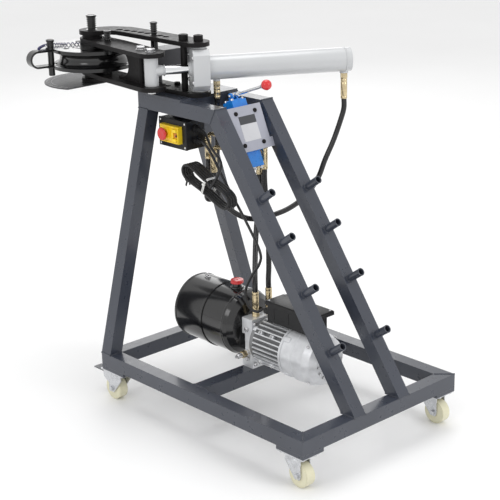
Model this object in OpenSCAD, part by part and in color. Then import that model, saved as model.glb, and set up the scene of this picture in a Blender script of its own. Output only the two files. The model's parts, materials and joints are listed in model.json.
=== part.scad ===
// Electric hydraulic tube bender on a wheeled stand.
// Lengths in millimetres, angles in degrees, +X from the bending head to the sloping rack, +Z up.
// The floor is z = 0 and the middle of the whole machine is x = y = 0.
// Plan places are measured from the middle of the base frame.

/* [Base frame] */
// Length over the end rails
base_l = 808; // [700:1:950]
// Width over the side rails
base_w = 578; // [500:1:700]
// Side of the square tube
rail = 40; // [30:1:45]
// Wall of the square tube
rail_wall = 2.5; // [1.5:0.5:4]
// Middle of the crossbar that carries the pump
crossbar_x = -29; // [-60:1:20]
// Length of a caster pad
pad_l = 95; // [92:1:120]
// Width of a caster pad
pad_w = 73; // [66:1:90]
// Thickness of a caster pad
pad_t = 10; // [8:1:16]

/* [Top frame] */
// Height of the top frame over the base rails
top_h = 715; // [650:1:800]
// Width over the top side rails
top_w = 208; // [190:1:230]
// Left end of the top frame
top_x = -419; // [-430:1:-400]
// Ridge where the rack legs start
ridge_x = -98; // [-110:1:-85]
// Thickness of the top plate
plate_t = 6; // [4:1:10]
// Right edge of the top plate
plate_x = -238; // [-242:1:-236]

/* [Storage pegs] */
// Outer diameter of a peg
peg_d = 21; // [18:1:30]
// Wall of a peg
peg_wall = 2.5; // [2:0.5:4]
// Length of a peg
peg_len = 49; // [40:1:80]

/* [Bending head] */
// Bend axis along the machine
die_x = -625; // [-640:1:-615]
// Bend axis across the machine
die_y = -98; // [-105:1:-90]
// Width of the outer links
link_w = 72; // [68:1:76]
// Thickness of the outer links
link_t = 12; // [8:1:14]
// Height between the outer links
link_gap = 124; // [120:1:130]
// Diameter of the bend axis pin
die_pin_d = 31.8; // [25:0.1:34]
// Diameter of the follow block pin
follow_pin_d = 20; // [16:0.5:22]
// Number of index holes in each link
index_count = 8; // [6:1:9]
// Distance between index holes
index_pitch = 27.7; // [26.5:0.1:28]
// Radius of the dial plate
dial_r = 132; // [125:1:140]
// Thickness of the dial plate
dial_t = 3; // [2:0.5:4]

/* [Bend die] */
// Centreline radius of the bend
bend_r = 114.3; // [112:0.1:116]
// Outer diameter of the tube that is bent
tube_d = 38.1; // [30:0.1:38.1]
// Height of the die rim
die_h = 58; // [57:1:64]
// Pitch radius of the drive holes
drive_r = 86; // [84:1:86]
// Diameter of the drive pin
drive_pin_d = 16; // [12:0.5:17]
// Diameter of the hook pin
hook_pin_d = 18; // [14:0.5:20]
// Thickness of the hook strap
hook_t = 5.5; // [4:0.5:5.5]
// Width of the hook strap
hook_w = 30; // [24:1:32]

/* [Swing arm] */
// Bend axis to rod end
arm_len = 313; // [310:1:318]
// Width at the bend axis
arm_w = 84; // [78:1:86]
// Thickness of each plate
arm_t = 12; // [8:1:12]
// Height between the plates
arm_gap = 80; // [78:1:84]
// Angle of the arm below the X axis
arm_a = 7; // [5:0.5:9]

/* [Cylinder] */
// Trunnion along the machine
trun_x = -248; // [-250:1:-246]
// Trunnion across the machine
trun_y = -24; // [-26:1:-22]
// Trunnion to the rear end
barrel_len = 422; // [400:1:460]
// Outer diameter of the barrel
barrel_d = 66; // [60:1:72]
// Wall of the barrel
barrel_wall = 6; // [4:0.5:8]
// Diameter of the piston rod
rod_d = 24; // [20:0.5:28]
// Width of the head block
head_w = 90; // [80:1:92]
// Height of the head block
head_h = 110; // [106:1:116]
// Length of the head block
head_l = 45; // [40:1:48]
// Outer diameter of the rod end
rod_end_d = 38; // [34:1:40]

/* [Valve] */
// Lean of the valve plate from upright
valve_a = 22.8; // [20:0.1:26]
// Height of the valve plate
valve_plate_h = 122; // [116:1:130]
// Thickness of the valve plate
valve_plate_t = 4; // [3:0.5:6]
// Length of the hand lever
lever_len = 140; // [90:1:160]
// Diameter of the lever knob
knob_d = 28; // [22:1:34]

/* [Switch] */
// Width of the switch box
box_w = 114; // [108:1:120]
// Height of the switch box
box_h = 78; // [74:1:84]
// Depth of the switch box
box_d = 66; // [55:1:68]
// Diameter of the stop button
stop_d = 36; // [32:1:40]
// Travel of the stop button
stop_travel = 4; // [3:0.5:5]

/* [Power unit] */
// Line of the pump, tank and motor
pump_y = -20; // [-25:1:-15]
// Outer radius of the tank
tank_r = 92; // [85:1:95]
// Length of the tank
tank_l = 244; // [220:1:260]
// Height of the tank line over the rails
tank_h = 105; // [100:1:110]
// Width of the manifold block
manifold_w = 100; // [90:1:104]
// Height of the manifold block
manifold_h = 142; // [140:1:145]
// Height of the motor line over the rails
motor_h = 76; // [74:1:78]
// Outer radius over the motor fins
motor_r = 70; // [66:1:72]
// Length of the motor without the fan cowl
motor_l = 165; // [150:1:175]
// Length of the fan cowl
cowl_l = 78; // [70:1:90]
// Number of motor fins
fin_count = 32; // [20:1:36]

/* [Casters] */
// Height of a caster
caster_h = 91; // [88:1:100]
// Diameter of a caster wheel
wheel_d = 65; // [58:1:66]
// Width of a caster wheel
wheel_w = 28; // [22:1:30]
// Offset of the wheel behind its swivel
trail = 14; // [10:1:20]
// Diameter of a wheel axle
axle_d = 8; // [6:0.5:10]

/* [Hidden] */
$fn = 64;

// Fits and overrun
run_fit = 0.05;
seat_gap = 0.3;
over = 1;

// Heights
deck = caster_h + pad_t + rail;
top_z = deck + top_h;
link_z = top_z + plate_t;
mid_z = link_z + link_t + link_gap/2;

// Sloping rack legs
foot_x = base_l/2;
lean = atan2(top_h, foot_x - ridge_x);
leg_len = top_h/sin(lean);
mitre = rail*tan(lean/2);
peg_shares = [0.303, 0.446, 0.611, 0.798];

// Middle line of the links
link_line = [[die_x, die_y], [-600, -53], [-562, -33], [-505, -31], [trun_x - 2, trun_y - 6]];
index_arc_r = 594;
index_x = -430;
index_y = -37;
index_first = -4.65;
index_used = 5;
dial_shift = 20;
dial_cut_share = 0.42;
index_step = 2*asin(index_pitch/(2*index_arc_r));
function index_at(i) = [index_x + index_arc_r*sin((i + index_first)*index_step),
    index_y - index_arc_r*(1 - cos((i + index_first)*index_step))];
follow_at = index_at(index_used);
die_at = [die_x, die_y];
trun_at = [trun_x, trun_y];
spacer_back = 40.6;
spacer_side = 18;
spacer_at = [trun_x - spacer_back, trun_y - spacer_side];
spacer_d = 18;
spacer_bolt_d = 12;
link_bolts_at = [[-364, -7], [-332, -5.5]];
head_bolt_d = 20;
head_bolt_head_d = 26;
head_bolt_head_h = 16;
low_bolt_d = 10;
low_bolt_head_d = 16;
low_bolt_head_h = 6;

// Grips of the pull pins
grip_rib_h = 3.6;
grip_groove_h = 2.4;
grip_groove = 1.2;
grip_cap_h = 4;
die_grip_d = 29;
die_grip_n = 6;
follow_grip_d = 20;
follow_grip_n = 5;
drive_grip_d = 20;
drive_grip_n = 4;
hook_grip_d = 23;
hook_grip_n = 3;

// Die
groove_fit = 0.2;
hub_r = 36;
drive_step = 45;
drive_count = 8;
rim_lip = 3;
hook_a = -120;
hook_at = bend_r + 5.7;
hook_lean = 20;
hook_loop = 44.5;
hook_or = tube_d/2 + 2*groove_fit + hook_t;
hook_lug_r = 14;
pocket_gap = 2.2;
hook_pin_below = 22;

// Arm
arm_end_r = 38;
arm_root_r = 35;
arm_wide_s = 110;
arm_boss_r = 28;
post_s = 263;
post_d = 15;
post_shank_d = 10;
web_t = 12;
web_start = 150;
web_cut_r = 36;
web_cut_s = 168;
hex_d = 26;
hex_h = 7;
pivot_d = 16;

// Cylinder
rod_at = [die_x + arm_len*cos(arm_a), die_y - arm_len*sin(arm_a)];
cyl_a = atan2(trun_y - rod_at[1], trun_x - rod_at[0]);
rod_len = norm(trun_at - rod_at);
head_chamfer = 14;
gland_r = 22;
trun_bore_l = 25;
trun_boss_r = 22;
piston_t = 30;
piston_back = 2;
rear_wall = 14;
rod_boss_r = 16;
rod_boss_l = 34;
rear_port = barrel_len - 17;
front_port = 47;
port_r = 8;
port_hex_h = 17;
ferrule_d = 17;
ferrule_l = 55;
front_ferrule_l = 30;

// Middle of the whole machine in plan
x_mid = (die_x - dial_shift - dial_r + max(base_l/2, base_l/2 - pad_l/2 + trail + wheel_d/2))/2;
y_mid = (trun_y + barrel_len*sin(cyl_a) + barrel_d/2*cos(cyl_a) - base_w/2)/2;

// Follow block
block_a = -5;
block_front = 38;
block_back = 28;
groove_out = 1;
block_near = 45;
block_far = 105;
block_h = 64;
block_boss_d = 36;

// Valve
valve_y = -5;
valve_x = -71.4;
valve_z = deck + 654.8;
valve_plate_w = top_w/2 - rail + valve_y;
valve_bolt_y = 34;
valve_bolt_z = 43.4;
valve_bolt_d = 8;
valve_bolt_head_d = 12;
valve_bolt_head_h = 4;
valve_tab_h = 26;
valve_w = 60;
valve_d = 52;
valve_h = 124;
cap_w = 50;
cap_d = 38;
cap_h = 20;
lever_pin_d = 6;
lever_eye_d = 16;
lever_eye_w = 9.4;
lever_rod_d = 8;
lever_a = 20;
ear_t = 5;
lever_up = 14;
foot_h = 41;
foot_w = 44;
valve_port_r = 11;
valve_port_l = 8;
valve_port_in = 24;

// Switch
box_x = -355;
box_y = -84;
box_z = deck + 578;
lid_t = 4;
bracket_t = 4;
bracket_share = 0.66;
bracket_in = 20;
flap_w = 78;
flap_h = 48;
flap_d = 14;
flap_x = 42;
flap_z = 16;
stop_at = 22;
stop_stem_d = 16;
stop_cap_h = 10;
gland_d = 18;
gland_l = 16;

// Power unit
pump_w = rail;
tank_wall = 3;
tank_neck_r = 52;
tank_dome = 36;
bead = 2.5;
bead_w = 8;
neck_d = 26;
neck_h = 16;
neck_x = 72;
cap_d2 = 36;
cap_t = 10;
flange_t = 12;
flange_r = 62;
fin_start = 18;
fin_end = 122;
fin_t = 3.4;
fin_h = 9;
cowl_wall = 2;
cowl_over = 2;
shaft_d = 18;
shaft_in = 40;
vent_d = 7;
vent_n = 14;
fan_r = 58;
fan_t = 26;
fan_hub_r = 20;
blade_t = 4;
blade_n = 7;
cap_box_x = 83;
cap_box_l = 160;
cap_box_w = 64;
cap_box_h = 47.4;
saddle_x = 48;
saddle_l = 70;
saddle_w = 36;
cap_lid_t = 10;
cap_lid_over = 5;
cap_lid_end = 22;
relief_d = 20;
relief_l = 22;

// Casters
caster_plate_l = 92;
caster_plate_w = 60;
rear_caster_out = 10;
caster_plate_t = 3;
race_r = 24;
race_h = 8;
king_d = 12;
fork_t = 3;
fork_gap = wheel_w + 3;
fork_w = 50;
pedal_w = 26;
pedal_l = 58;
pedal_t = 3;
pedal_pin_d = 6;
pedal_out = 30;
pedal_z = 68;

// Hydraulic fittings at the valve and the pump
fit_a = [-204, -20, deck + 568];
fit_b = [-226, -20, deck + 602];
fit_p = [-72, 46, deck + 588];
fit_t = [-93, 46, deck + 570];
pipe_d = 10;
pipe_bend = 16;
pump_port_p = [-28, 12];
pump_port_t = [-28, -38];
pump_fit_h = 70;

// Hoses and cords
hose_d = 15;
hose_sides = 10;
cord_d = 7.5;
cord_sides = 8;

// Smooth curve through a route's points
function blend(a, b, c, d, t) = 0.5*(2*b + (c - a)*t + (2*a - 5*b + 4*c - d)*t*t
    + (3*b - a - 3*c + d)*t*t*t);
function smooth(p, n) = let (m = len(p))
    concat([for (i = [0:m - 2]) for (j = [0:n - 1])
        blend(p[max(i - 1, 0)], p[i], p[i + 1], p[min(i + 2, m - 1)], j/n)], [p[m - 1]]);
function unit(v) = v/norm(v);
function along(p, i) = unit(p[min(i + 1, len(p) - 1)] - p[max(i - 1, 0)]);
// Frames carried along the route without twist
function carry(n, t) = unit(n - (n*t)*t);
function normals(p, i = 0, n = undef) = i >= len(p) ? []
    : let (t = along(p, i), a = is_undef(n) ? (abs(t[2]) < 0.9 ? [0, 0, 1] : [1, 0, 0]) : n, m = carry(a, t))
    concat([m], normals(p, i + 1, m));
function rings(p, d, sides) = let (ns = normals(p))
    [for (i = [0:len(p) - 1]) let (t = along(p, i), n = ns[i], b = cross(t, n))
        for (k = [0:sides - 1]) p[i] + d/2*(cos(360*k/sides)*n + sin(360*k/sides)*b)];
module tube_along(p, d, sides) {
    m = len(p);
    faces = concat([[for (k = [sides - 1:-1:0]) k]],
        [for (i = [0:m - 2]) for (k = [0:sides - 1]) let (q = (k + 1)%sides)
            [i*sides + k, i*sides + q, (i + 1)*sides + q, (i + 1)*sides + k]],
        [[for (k = [0:sides - 1]) (m - 1)*sides + k]]);
    tri = [for (f = faces) each len(f) == 4 ? [[f[0], f[1], f[2]], [f[0], f[2], f[3]]]
        : [for (k = [1:len(f) - 2]) [f[0], f[k], f[k + 1]]]];
    polyhedron(rings(p, d, sides), [for (f = tri) [f[0], f[2], f[1]]]);
}

module placed() {
    translate([-x_mid, -y_mid, 0]) children();
}
module both_sides() {
    children();
    mirror([0, 1, 0]) children();
}
module bar(l) {
    difference() {
        cube([l, rail, rail]);
        translate([-over, rail_wall, rail_wall])
            cube([l + 2*over, rail - 2*rail_wall, rail - 2*rail_wall]);
    }
}
// Rail cut to a mitre at both ends, its long side at y = 0
module mitred_rail(l) {
    intersection() {
        bar(l);
        linear_extrude(rail) polygon([[0, 0], [l, 0], [l - rail, rail], [rail, rail]]);
    }
}
module hex_head(d, h) {
    cylinder(d = d, h = h, $fn = 6);
}
module grip(d, n) {
    for (i = [0:n - 1]) translate([0, 0, i*(grip_rib_h + grip_groove_h)]) {
        cylinder(d = d - 2*grip_groove, h = grip_groove_h);
        translate([0, 0, grip_groove_h]) cylinder(d = d, h = grip_rib_h);
    }
    translate([0, 0, n*(grip_rib_h + grip_groove_h)]) cylinder(d = d + grip_groove, h = grip_cap_h);
}

// Base frame
module base_rails() {
    color("#454b58") placed() {
        both_sides() translate([-base_l/2, -base_w/2, deck - rail]) mitred_rail(base_l);
        for (s = [-90, 90]) rotate([0, 0, s]) translate([-base_w/2, -base_l/2, deck - rail])
            mitred_rail(base_w);
        translate([crossbar_x + rail/2, -base_w/2 + rail, deck - rail]) rotate([0, 0, 90])
            bar(base_w - 2*rail);
    }
}
module frame_plates() {
    color("#3b404b") placed() {
        for (sx = [0, 1]) mirror([sx, 0, 0]) both_sides()
            translate([base_l/2 - pad_l, base_w/2 - pad_w, caster_h]) cube([pad_l, pad_w, pad_t]);
        difference() {
            translate([top_x, -top_w/2, top_z]) cube([plate_x - top_x, top_w, plate_t]);
            for (p = link_bolts_at) translate([p[0], p[1], top_z - over])
                cylinder(d = low_bolt_d, h = plate_t + 2*over);
        }
    }
}
module rear_legs() {
    splay = atan2(base_w/2 - top_w/2, top_h - rail);
    half = rail/2/cos(splay);
    foot = [-base_l/2 + rail/2, -base_w/2 + half, deck];
    head = [top_x + rail/2, -top_w/2 + half, top_z - rail];
    d = head - foot;
    color("#454b58") placed() both_sides() intersection() {
        translate(foot) rotate([-atan2(d[1], d[2]), asin(d[0]/norm(d)), 0])
            translate([-rail/2, rail/2, -rail]) rotate([0, 0, -90]) rotate([0, -90, 0])
            translate([0, 0, -rail]) bar(norm(d) + 2*rail);
        translate([-base_l, -base_w, deck]) cube([base_l, base_w, top_h - rail]);
    }
}
module top_rails() {
    color("#454b58") placed() {
        both_sides() intersection() {
            translate([top_x, -top_w/2, top_z - rail]) bar(ridge_x + rail - top_x);
            translate([0, 0, top_z - rail]) linear_extrude(rail) polygon([[top_x, -top_w/2],
                [ridge_x + rail, -top_w/2], [ridge_x + rail, -top_w/2 + rail], [top_x + rail, -top_w/2 + rail]]);
            rotate([90, 0, 0]) linear_extrude(top_w) polygon([[top_x - over, top_z - rail - over],
                [ridge_x - mitre*(1 + over/rail), top_z - rail - over],
                [ridge_x + mitre*over/rail, top_z + over], [top_x - over, top_z + over]]);
        }
        translate([top_x, top_w/2, top_z - rail]) rotate([0, 0, -90]) mitred_rail(top_w);
        translate([plate_x, -top_w/2 + rail, top_z - rail]) rotate([0, 0, 90]) bar(top_w - 2*rail);
    }
}
module rack_legs() {
    color("#454b58") placed() both_sides() intersection() {
        translate([ridge_x, -top_w/2, top_z]) rotate([0, lean, 0]) translate([-rail, 0, -rail])
            bar(leg_len + 3*rail);
        rotate([90, 0, 0]) linear_extrude(top_w) polygon([[ridge_x + mitre, top_z + rail],
            [foot_x + rail, top_z + rail], [foot_x + rail, deck], [ridge_x - 2*mitre, deck],
            [ridge_x - 2*mitre, top_z - 2*rail]]);
    }
}
module storage_pegs() {
    color("#454b58") placed() both_sides() translate([ridge_x, -top_w/2 + rail/2, top_z])
        rotate([0, lean, 0]) for (s = peg_shares) translate([s*leg_len, 0, 0]) difference() {
            cylinder(d = peg_d, h = peg_len);
            translate([0, 0, -over]) cylinder(d = peg_d - 2*peg_wall, h = peg_len + 2*over);
        }
}

// Bending head
module strip(p, q, w) {
    translate(p) rotate(atan2(q[1] - p[1], q[0] - p[0])) translate([0, -w/2]) square([norm(q - p), w]);
}
module link_outline() {
    for (i = [1:len(link_line) - 1]) strip(link_line[i - 1], link_line[i], link_w);
    for (p = link_line) translate(p) circle(d = link_w);
}
module outer_link() {
    linear_extrude(link_t) difference() {
        link_outline();
        translate(die_at) circle(d = die_pin_d + 2*run_fit);
        translate(trun_at) circle(d = head_bolt_d);
        translate(spacer_at) circle(d = spacer_bolt_d);
        for (i = [0:index_count - 1]) translate(index_at(i)) circle(d = follow_pin_d + 2*run_fit);
        children();
    }
}
module lower_link() {
    color("#26262a") placed() translate([0, 0, link_z])
        outer_link() for (p = link_bolts_at) translate(p) circle(d = low_bolt_d);
}
module upper_link() {
    color("#26262a") placed() translate([0, 0, mid_z + link_gap/2]) outer_link();
}
module degree_plate() {
    color("#77777c") placed() translate([die_x, die_y, link_z - dial_t]) difference() {
        translate([-dial_shift, 0, 0]) cylinder(r = dial_r, h = dial_t, $fn = 96);
        translate([0, 0, -over]) cylinder(d = die_pin_d + 2*run_fit, h = dial_t + 2*over);
        translate([dial_cut_share*dial_r - dial_shift, -dial_r, -over])
            cube([dial_r, 2*dial_r, dial_t + 2*over]);
    }
}
module frame_bolts() {
    color("#1d1d20") placed() {
        // Trunnion bolts through the links into the cylinder head
        for (s = [0, 1]) translate([trun_x, trun_y, mid_z]) mirror([0, 0, s]) {
            translate([0, 0, head_h/2 - trun_bore_l + over])
                cylinder(d = head_bolt_d, h = link_gap/2 + link_t - head_h/2 + trun_bore_l - over);
            if (s == 0) translate([0, 0, link_gap/2 + link_t])
                cylinder(d = head_bolt_head_d, h = head_bolt_head_h);
        }
        // Spacer between the links with its bolt
        translate([spacer_at[0], spacer_at[1], mid_z]) {
            cylinder(d = spacer_d, h = link_gap, center = true);
            translate([0, 0, link_gap/2]) cylinder(d = spacer_bolt_d, h = link_t);
            translate([0, 0, link_gap/2 + link_t]) cylinder(d = head_bolt_head_d, h = head_bolt_head_h);
            translate([0, 0, -link_gap/2 - link_t]) cylinder(d = spacer_bolt_d, h = link_t);
        }
        // Bolts that hold the lower link to the top plate
        for (p = link_bolts_at) translate([p[0], p[1], top_z]) {
            cylinder(d = low_bolt_d, h = plate_t + link_t);
            translate([0, 0, plate_t + link_t]) cylinder(d = low_bolt_head_d, h = low_bolt_head_h);
            translate([0, 0, -low_bolt_head_h]) hex_head(low_bolt_head_d, low_bolt_head_h);
        }
        at_valve() for (y = [-1, 1], z = [-1, 1]) translate([0, y*valve_bolt_y, z*valve_bolt_z])
            rotate([0, 90, 0]) {
                cylinder(d = valve_bolt_head_d, h = valve_bolt_head_h);
                translate([0, 0, -valve_plate_t]) cylinder(d = valve_bolt_d, h = valve_plate_t);
            }
    }
}
module die_pin() {
    color("#1b1b1e") placed() translate([die_x, die_y, link_z]) {
        cylinder(d = die_pin_d, h = 2*link_t + link_gap + seat_gap);
        translate([0, 0, 2*link_t + link_gap + seat_gap]) grip(die_grip_d, die_grip_n);
    }
}
module follow_pin() {
    color("#1b1b1e") placed() translate([follow_at[0], follow_at[1], link_z]) {
        cylinder(d = follow_pin_d, h = 2*link_t + link_gap + seat_gap);
        translate([0, 0, 2*link_t + link_gap + seat_gap]) grip(follow_grip_d, follow_grip_n);
    }
}
module follow_block() {
    color("#5b5b60") placed() translate([follow_at[0], follow_at[1], mid_z]) rotate([0, 0, block_a])
        difference() {
            union() {
                translate([-block_front, -block_near, -block_h/2])
                    cube([block_front + block_back, block_near + block_far, block_h]);
                translate([0, 0, seat_gap - link_gap/2]) cylinder(d = block_boss_d, h = link_gap/2 - seat_gap);
            }
            cylinder(d = follow_pin_d + 2*run_fit, h = link_gap + 2*over, center = true);
            translate([-block_front - groove_out, -block_near - over, 0]) rotate([-90, 0, 0])
                cylinder(d = tube_d + 2*groove_fit, h = block_near + block_far + 2*over);
        }
}

// Swing arm, with its own x along the arm from the bend axis
module on_arm() {
    placed() translate([die_x, die_y, mid_z]) rotate([0, 0, -arm_a]) children();
}
module arm_outline() {
    circle(r = arm_root_r);
    translate([arm_len, 0]) circle(r = arm_end_r);
    polygon([[0, -arm_root_r], [arm_wide_s, -arm_w/2], [arm_len, -arm_end_r], [arm_len, arm_end_r],
        [arm_wide_s, arm_w/2], [0, arm_root_r]]);
}
module swing_arm() {
    color("#2b2b2f") on_arm() {
        for (s = [0, 1]) mirror([0, 0, s]) difference() {
            union() {
                translate([0, 0, arm_gap/2]) linear_extrude(arm_t) arm_outline();
                translate([0, 0, arm_gap/2 + arm_t/2])
                    cylinder(r = arm_boss_r, h = (link_gap - arm_gap - arm_t)/2 - seat_gap);
            }
            cylinder(d = die_pin_d + 2*run_fit, h = link_gap);
            translate([drive_r, 0, 0]) cylinder(d = drive_pin_d + 2*run_fit, h = link_gap);
            translate([post_s, 0, 0]) cylinder(d = post_shank_d, h = link_gap);
            translate([arm_len, 0, 0]) cylinder(d = pivot_d, h = link_gap);
        }
        difference() {
            union() {
                translate([post_s, 0, 0]) cylinder(d = post_d, h = arm_gap, center = true);
                translate([web_start, -web_t/2, -arm_gap/2]) cube([post_s - web_start, web_t, arm_gap]);
            }
            translate([post_s, 0, 0]) cylinder(d = post_shank_d, h = link_gap, center = true);
            translate([web_cut_s, web_t, 0]) rotate([90, 0, 0]) cylinder(r = web_cut_r, h = 2*web_t);
            translate([web_start - over, -web_t, -web_cut_r])
                cube([web_cut_s - web_start + over, 2*web_t, 2*web_cut_r]);
        }
    }
}
module arm_bolts() {
    color("#c9c9cc") on_arm() {
        translate([post_s, 0, 0]) {
            cylinder(d = post_shank_d, h = arm_gap + 2*arm_t, center = true);
            for (s = [0, 1]) mirror([0, 0, s]) translate([0, 0, arm_gap/2 + arm_t]) hex_head(hex_d, hex_h);
        }
        for (s = [0, 1]) translate([arm_len, 0, 0]) mirror([0, 0, s]) {
            translate([0, 0, arm_gap/2 + seat_gap]) cylinder(d = pivot_d, h = arm_t - seat_gap);
            translate([0, 0, arm_gap/2 + arm_t]) hex_head(hex_d, hex_h);
        }
    }
}
module drive_pin() {
    color("#1b1b1e") on_arm() translate([drive_r, 0, 0]) {
        translate([0, 0, -arm_gap/2 - arm_t]) cylinder(d = drive_pin_d, h = arm_gap + 2*arm_t + seat_gap);
        translate([0, 0, arm_gap/2 + arm_t + seat_gap]) grip(drive_grip_d, drive_grip_n);
    }
}

// Bend die
module bend_die() {
    groove = tube_d/2 + groove_fit;
    color("#202024") placed() translate([die_x, die_y, mid_z]) difference() {
        union() {
            cylinder(r = bend_r + rim_lip, h = die_h, center = true, $fn = 96);
            rotate([0, 0, hook_a]) translate([hook_at, 0, 0])
                cylinder(r = hook_lug_r, h = die_h - over, center = true);
            cylinder(r = hub_r, h = arm_gap - 2*seat_gap, center = true);
        }
        rotate_extrude($fn = 96) translate([bend_r, 0]) circle(r = groove);
        cylinder(d = die_pin_d + 2*run_fit, h = arm_gap, center = true);
        for (i = [0:drive_count - 1]) let (a = -arm_a - i*drive_step)
            rotate([0, 0, a]) translate([drive_r, 0, 0])
                cylinder(d = drive_pin_d + 2*run_fit, h = arm_gap, center = true);
        rotate([0, 0, hook_a]) translate([hook_at, 0, 0]) {
            cylinder(r = hook_w/2 + pocket_gap, h = 2*hook_or + 2*seat_gap, center = true);
            cylinder(d = hook_pin_d + 2*run_fit, h = arm_gap, center = true);
        }
    }
}
module at_hook() {
    placed() translate([die_x, die_y, mid_z]) rotate([0, 0, hook_a]) translate([hook_at, 0, 0]) children();
}
module hook_strap() {
    color("#17171a") at_hook() rotate([0, 0, hook_lean]) difference() {
        union() {
            rotate([90, 0, 0]) linear_extrude(hook_w, center = true) {
                translate([hook_loop, 0]) circle(r = hook_or);
                translate([0, -hook_or]) square([hook_loop, 2*hook_or]);
            }
            cylinder(d = hook_w, h = 2*hook_or, center = true);
        }
        rotate([90, 0, 0]) linear_extrude(hook_w + 2*over, center = true) {
            translate([hook_loop, 0]) circle(r = hook_or - hook_t);
            translate([-hook_w, -hook_or + hook_t]) square([hook_w + hook_loop, 2*hook_or - 2*hook_t]);
        }
        cylinder(d = hook_pin_d + 2*run_fit, h = arm_gap, center = true);
    }
}
module hook_pin() {
    color("#1b1b1e") at_hook() {
        translate([0, 0, -die_h/2 - hook_pin_below])
            cylinder(d = hook_pin_d, h = die_h + hook_pin_below + seat_gap);
        translate([0, 0, die_h/2 + seat_gap]) grip(hook_grip_d, hook_grip_n);
    }
}
// Coiled tether from the strap over the die to its hub
tether_turns = 20;
tether_sides = 6;
tether_steps = 7;
tether_wire = 2.6;
tether_coil_r = 2.9;
tether_line = [[-62, -143, 29.6], [-76, -126, 31], [-83, -104, 33], [-76, -78, 33.4], [-60, -54, 33.1], [-36, -20, 33.1]];
function line_at(p, u) = let (m = len(p) - 1, i = min(floor(u*m), m - 1))
    blend(p[max(i - 1, 0)], p[i], p[i + 1], p[min(i + 2, m)], u*m - i);
tether_path = [for (i = [0:tether_turns*tether_steps])
    let (u = i/(tether_turns*tether_steps), c = line_at(tether_line, u),
        t = unit(line_at(tether_line, min(u + 0.01, 1)) - line_at(tether_line, max(u - 0.01, 0))),
        n = carry([0, 0, 1], t), a = 360*i/tether_steps)
    c + tether_coil_r*(cos(a)*n + sin(a)*cross(t, n))];
tether_gap = min([for (i = [0:len(tether_path) - 1]) for (j = [i + tether_steps - 2:i + tether_steps + 2])
    if (j < len(tether_path)) norm(tether_path[i] - tether_path[j])]) - tether_wire;
echo(str("least gap in the tether coil ", tether_gap));
module tether_spring() {
    color("#23234a") placed() translate([die_x, die_y, mid_z])
        tube_along(tether_path, tether_wire, tether_sides);
}

// Cylinder, with its own x from the trunnion to the rear end
module on_cylinder() {
    placed() translate([trun_x, trun_y, mid_z]) rotate([0, 0, cyl_a]) children();
}
module cylinder_head() {
    c = head_chamfer;
    color("#c4c6c8") on_cylinder() difference() {
        union() {
            translate([-head_l/2, 0, 0]) rotate([90, 0, 90]) linear_extrude(head_l) polygon([
                [-head_w/2 + c, -head_h/2], [head_w/2 - c, -head_h/2], [head_w/2, -head_h/2 + c],
                [head_w/2, head_h/2 - c], [head_w/2 - c, head_h/2], [-head_w/2 + c, head_h/2],
                [-head_w/2, head_h/2 - c], [-head_w/2, -head_h/2 + c]]);
            cylinder(r = trun_boss_r, h = link_gap - 2*seat_gap, center = true);
        }
        translate([-head_l, 0, 0]) rotate([0, 90, 0]) cylinder(d = rod_d + 2*run_fit, h = 2*head_l);
        for (s = [0, 1]) mirror([0, 0, s]) translate([0, 0, head_h/2 - trun_bore_l])
            cylinder(d = head_bolt_d + 2*run_fit, h = link_gap);
    }
}
module cylinder_barrel() {
    color("#c4c6c8") on_cylinder() difference() {
        union() {
            translate([head_l/2, 0, 0]) rotate([0, 90, 0]) cylinder(d = barrel_d, h = barrel_len - head_l/2);
            translate([rear_port, 0, -barrel_d/2 - port_r/2]) cylinder(r = 1.5*port_r, h = barrel_d/2);
            translate([front_port, 0, -barrel_d/2 - port_r/2]) cylinder(r = 1.2*port_r, h = barrel_d/2);
        }
        translate([head_l/2 - over, 0, 0]) rotate([0, 90, 0])
            cylinder(d = barrel_d - 2*barrel_wall, h = barrel_len - head_l/2 - rear_wall + over);
    }
}
module ferrule(l) {
    translate([0, 0, -port_hex_h]) hex_head(1.1*ferrule_d, port_hex_h);
    translate([0, 0, -port_hex_h - l]) cylinder(d = ferrule_d, h = l);
}
module cylinder_fittings() {
    color("#b59a5b") on_cylinder() {
        translate([rear_port, 0, -barrel_d/2 - port_r/2]) ferrule(ferrule_l);
        translate([front_port, 0, -barrel_d/2 - port_r/2]) ferrule(front_ferrule_l);
    }
}
module piston_rod() {
    rear = barrel_len - rear_wall - piston_back;
    color("#e6e8ea") on_cylinder() {
        translate([-rod_len + rod_boss_l, 0, 0]) rotate([0, 90, 0])
            cylinder(d = rod_d, h = rod_len - rod_boss_l + rear - piston_t);
        translate([rear - piston_t, 0, 0]) rotate([0, 90, 0])
            cylinder(d = barrel_d - 2*barrel_wall - 2*run_fit, h = piston_t);
    }
}
module rod_end() {
    color("#c4c6c8") on_cylinder() translate([-rod_len, 0, 0]) difference() {
        union() {
            cylinder(d = rod_end_d, h = arm_gap - 2*seat_gap, center = true);
            rotate([0, 90, 0]) cylinder(r1 = rod_end_d/2 - over, r2 = rod_boss_r*0.8, h = rod_boss_l);
        }
        cylinder(d = pivot_d, h = arm_gap, center = true);
    }
}

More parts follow.
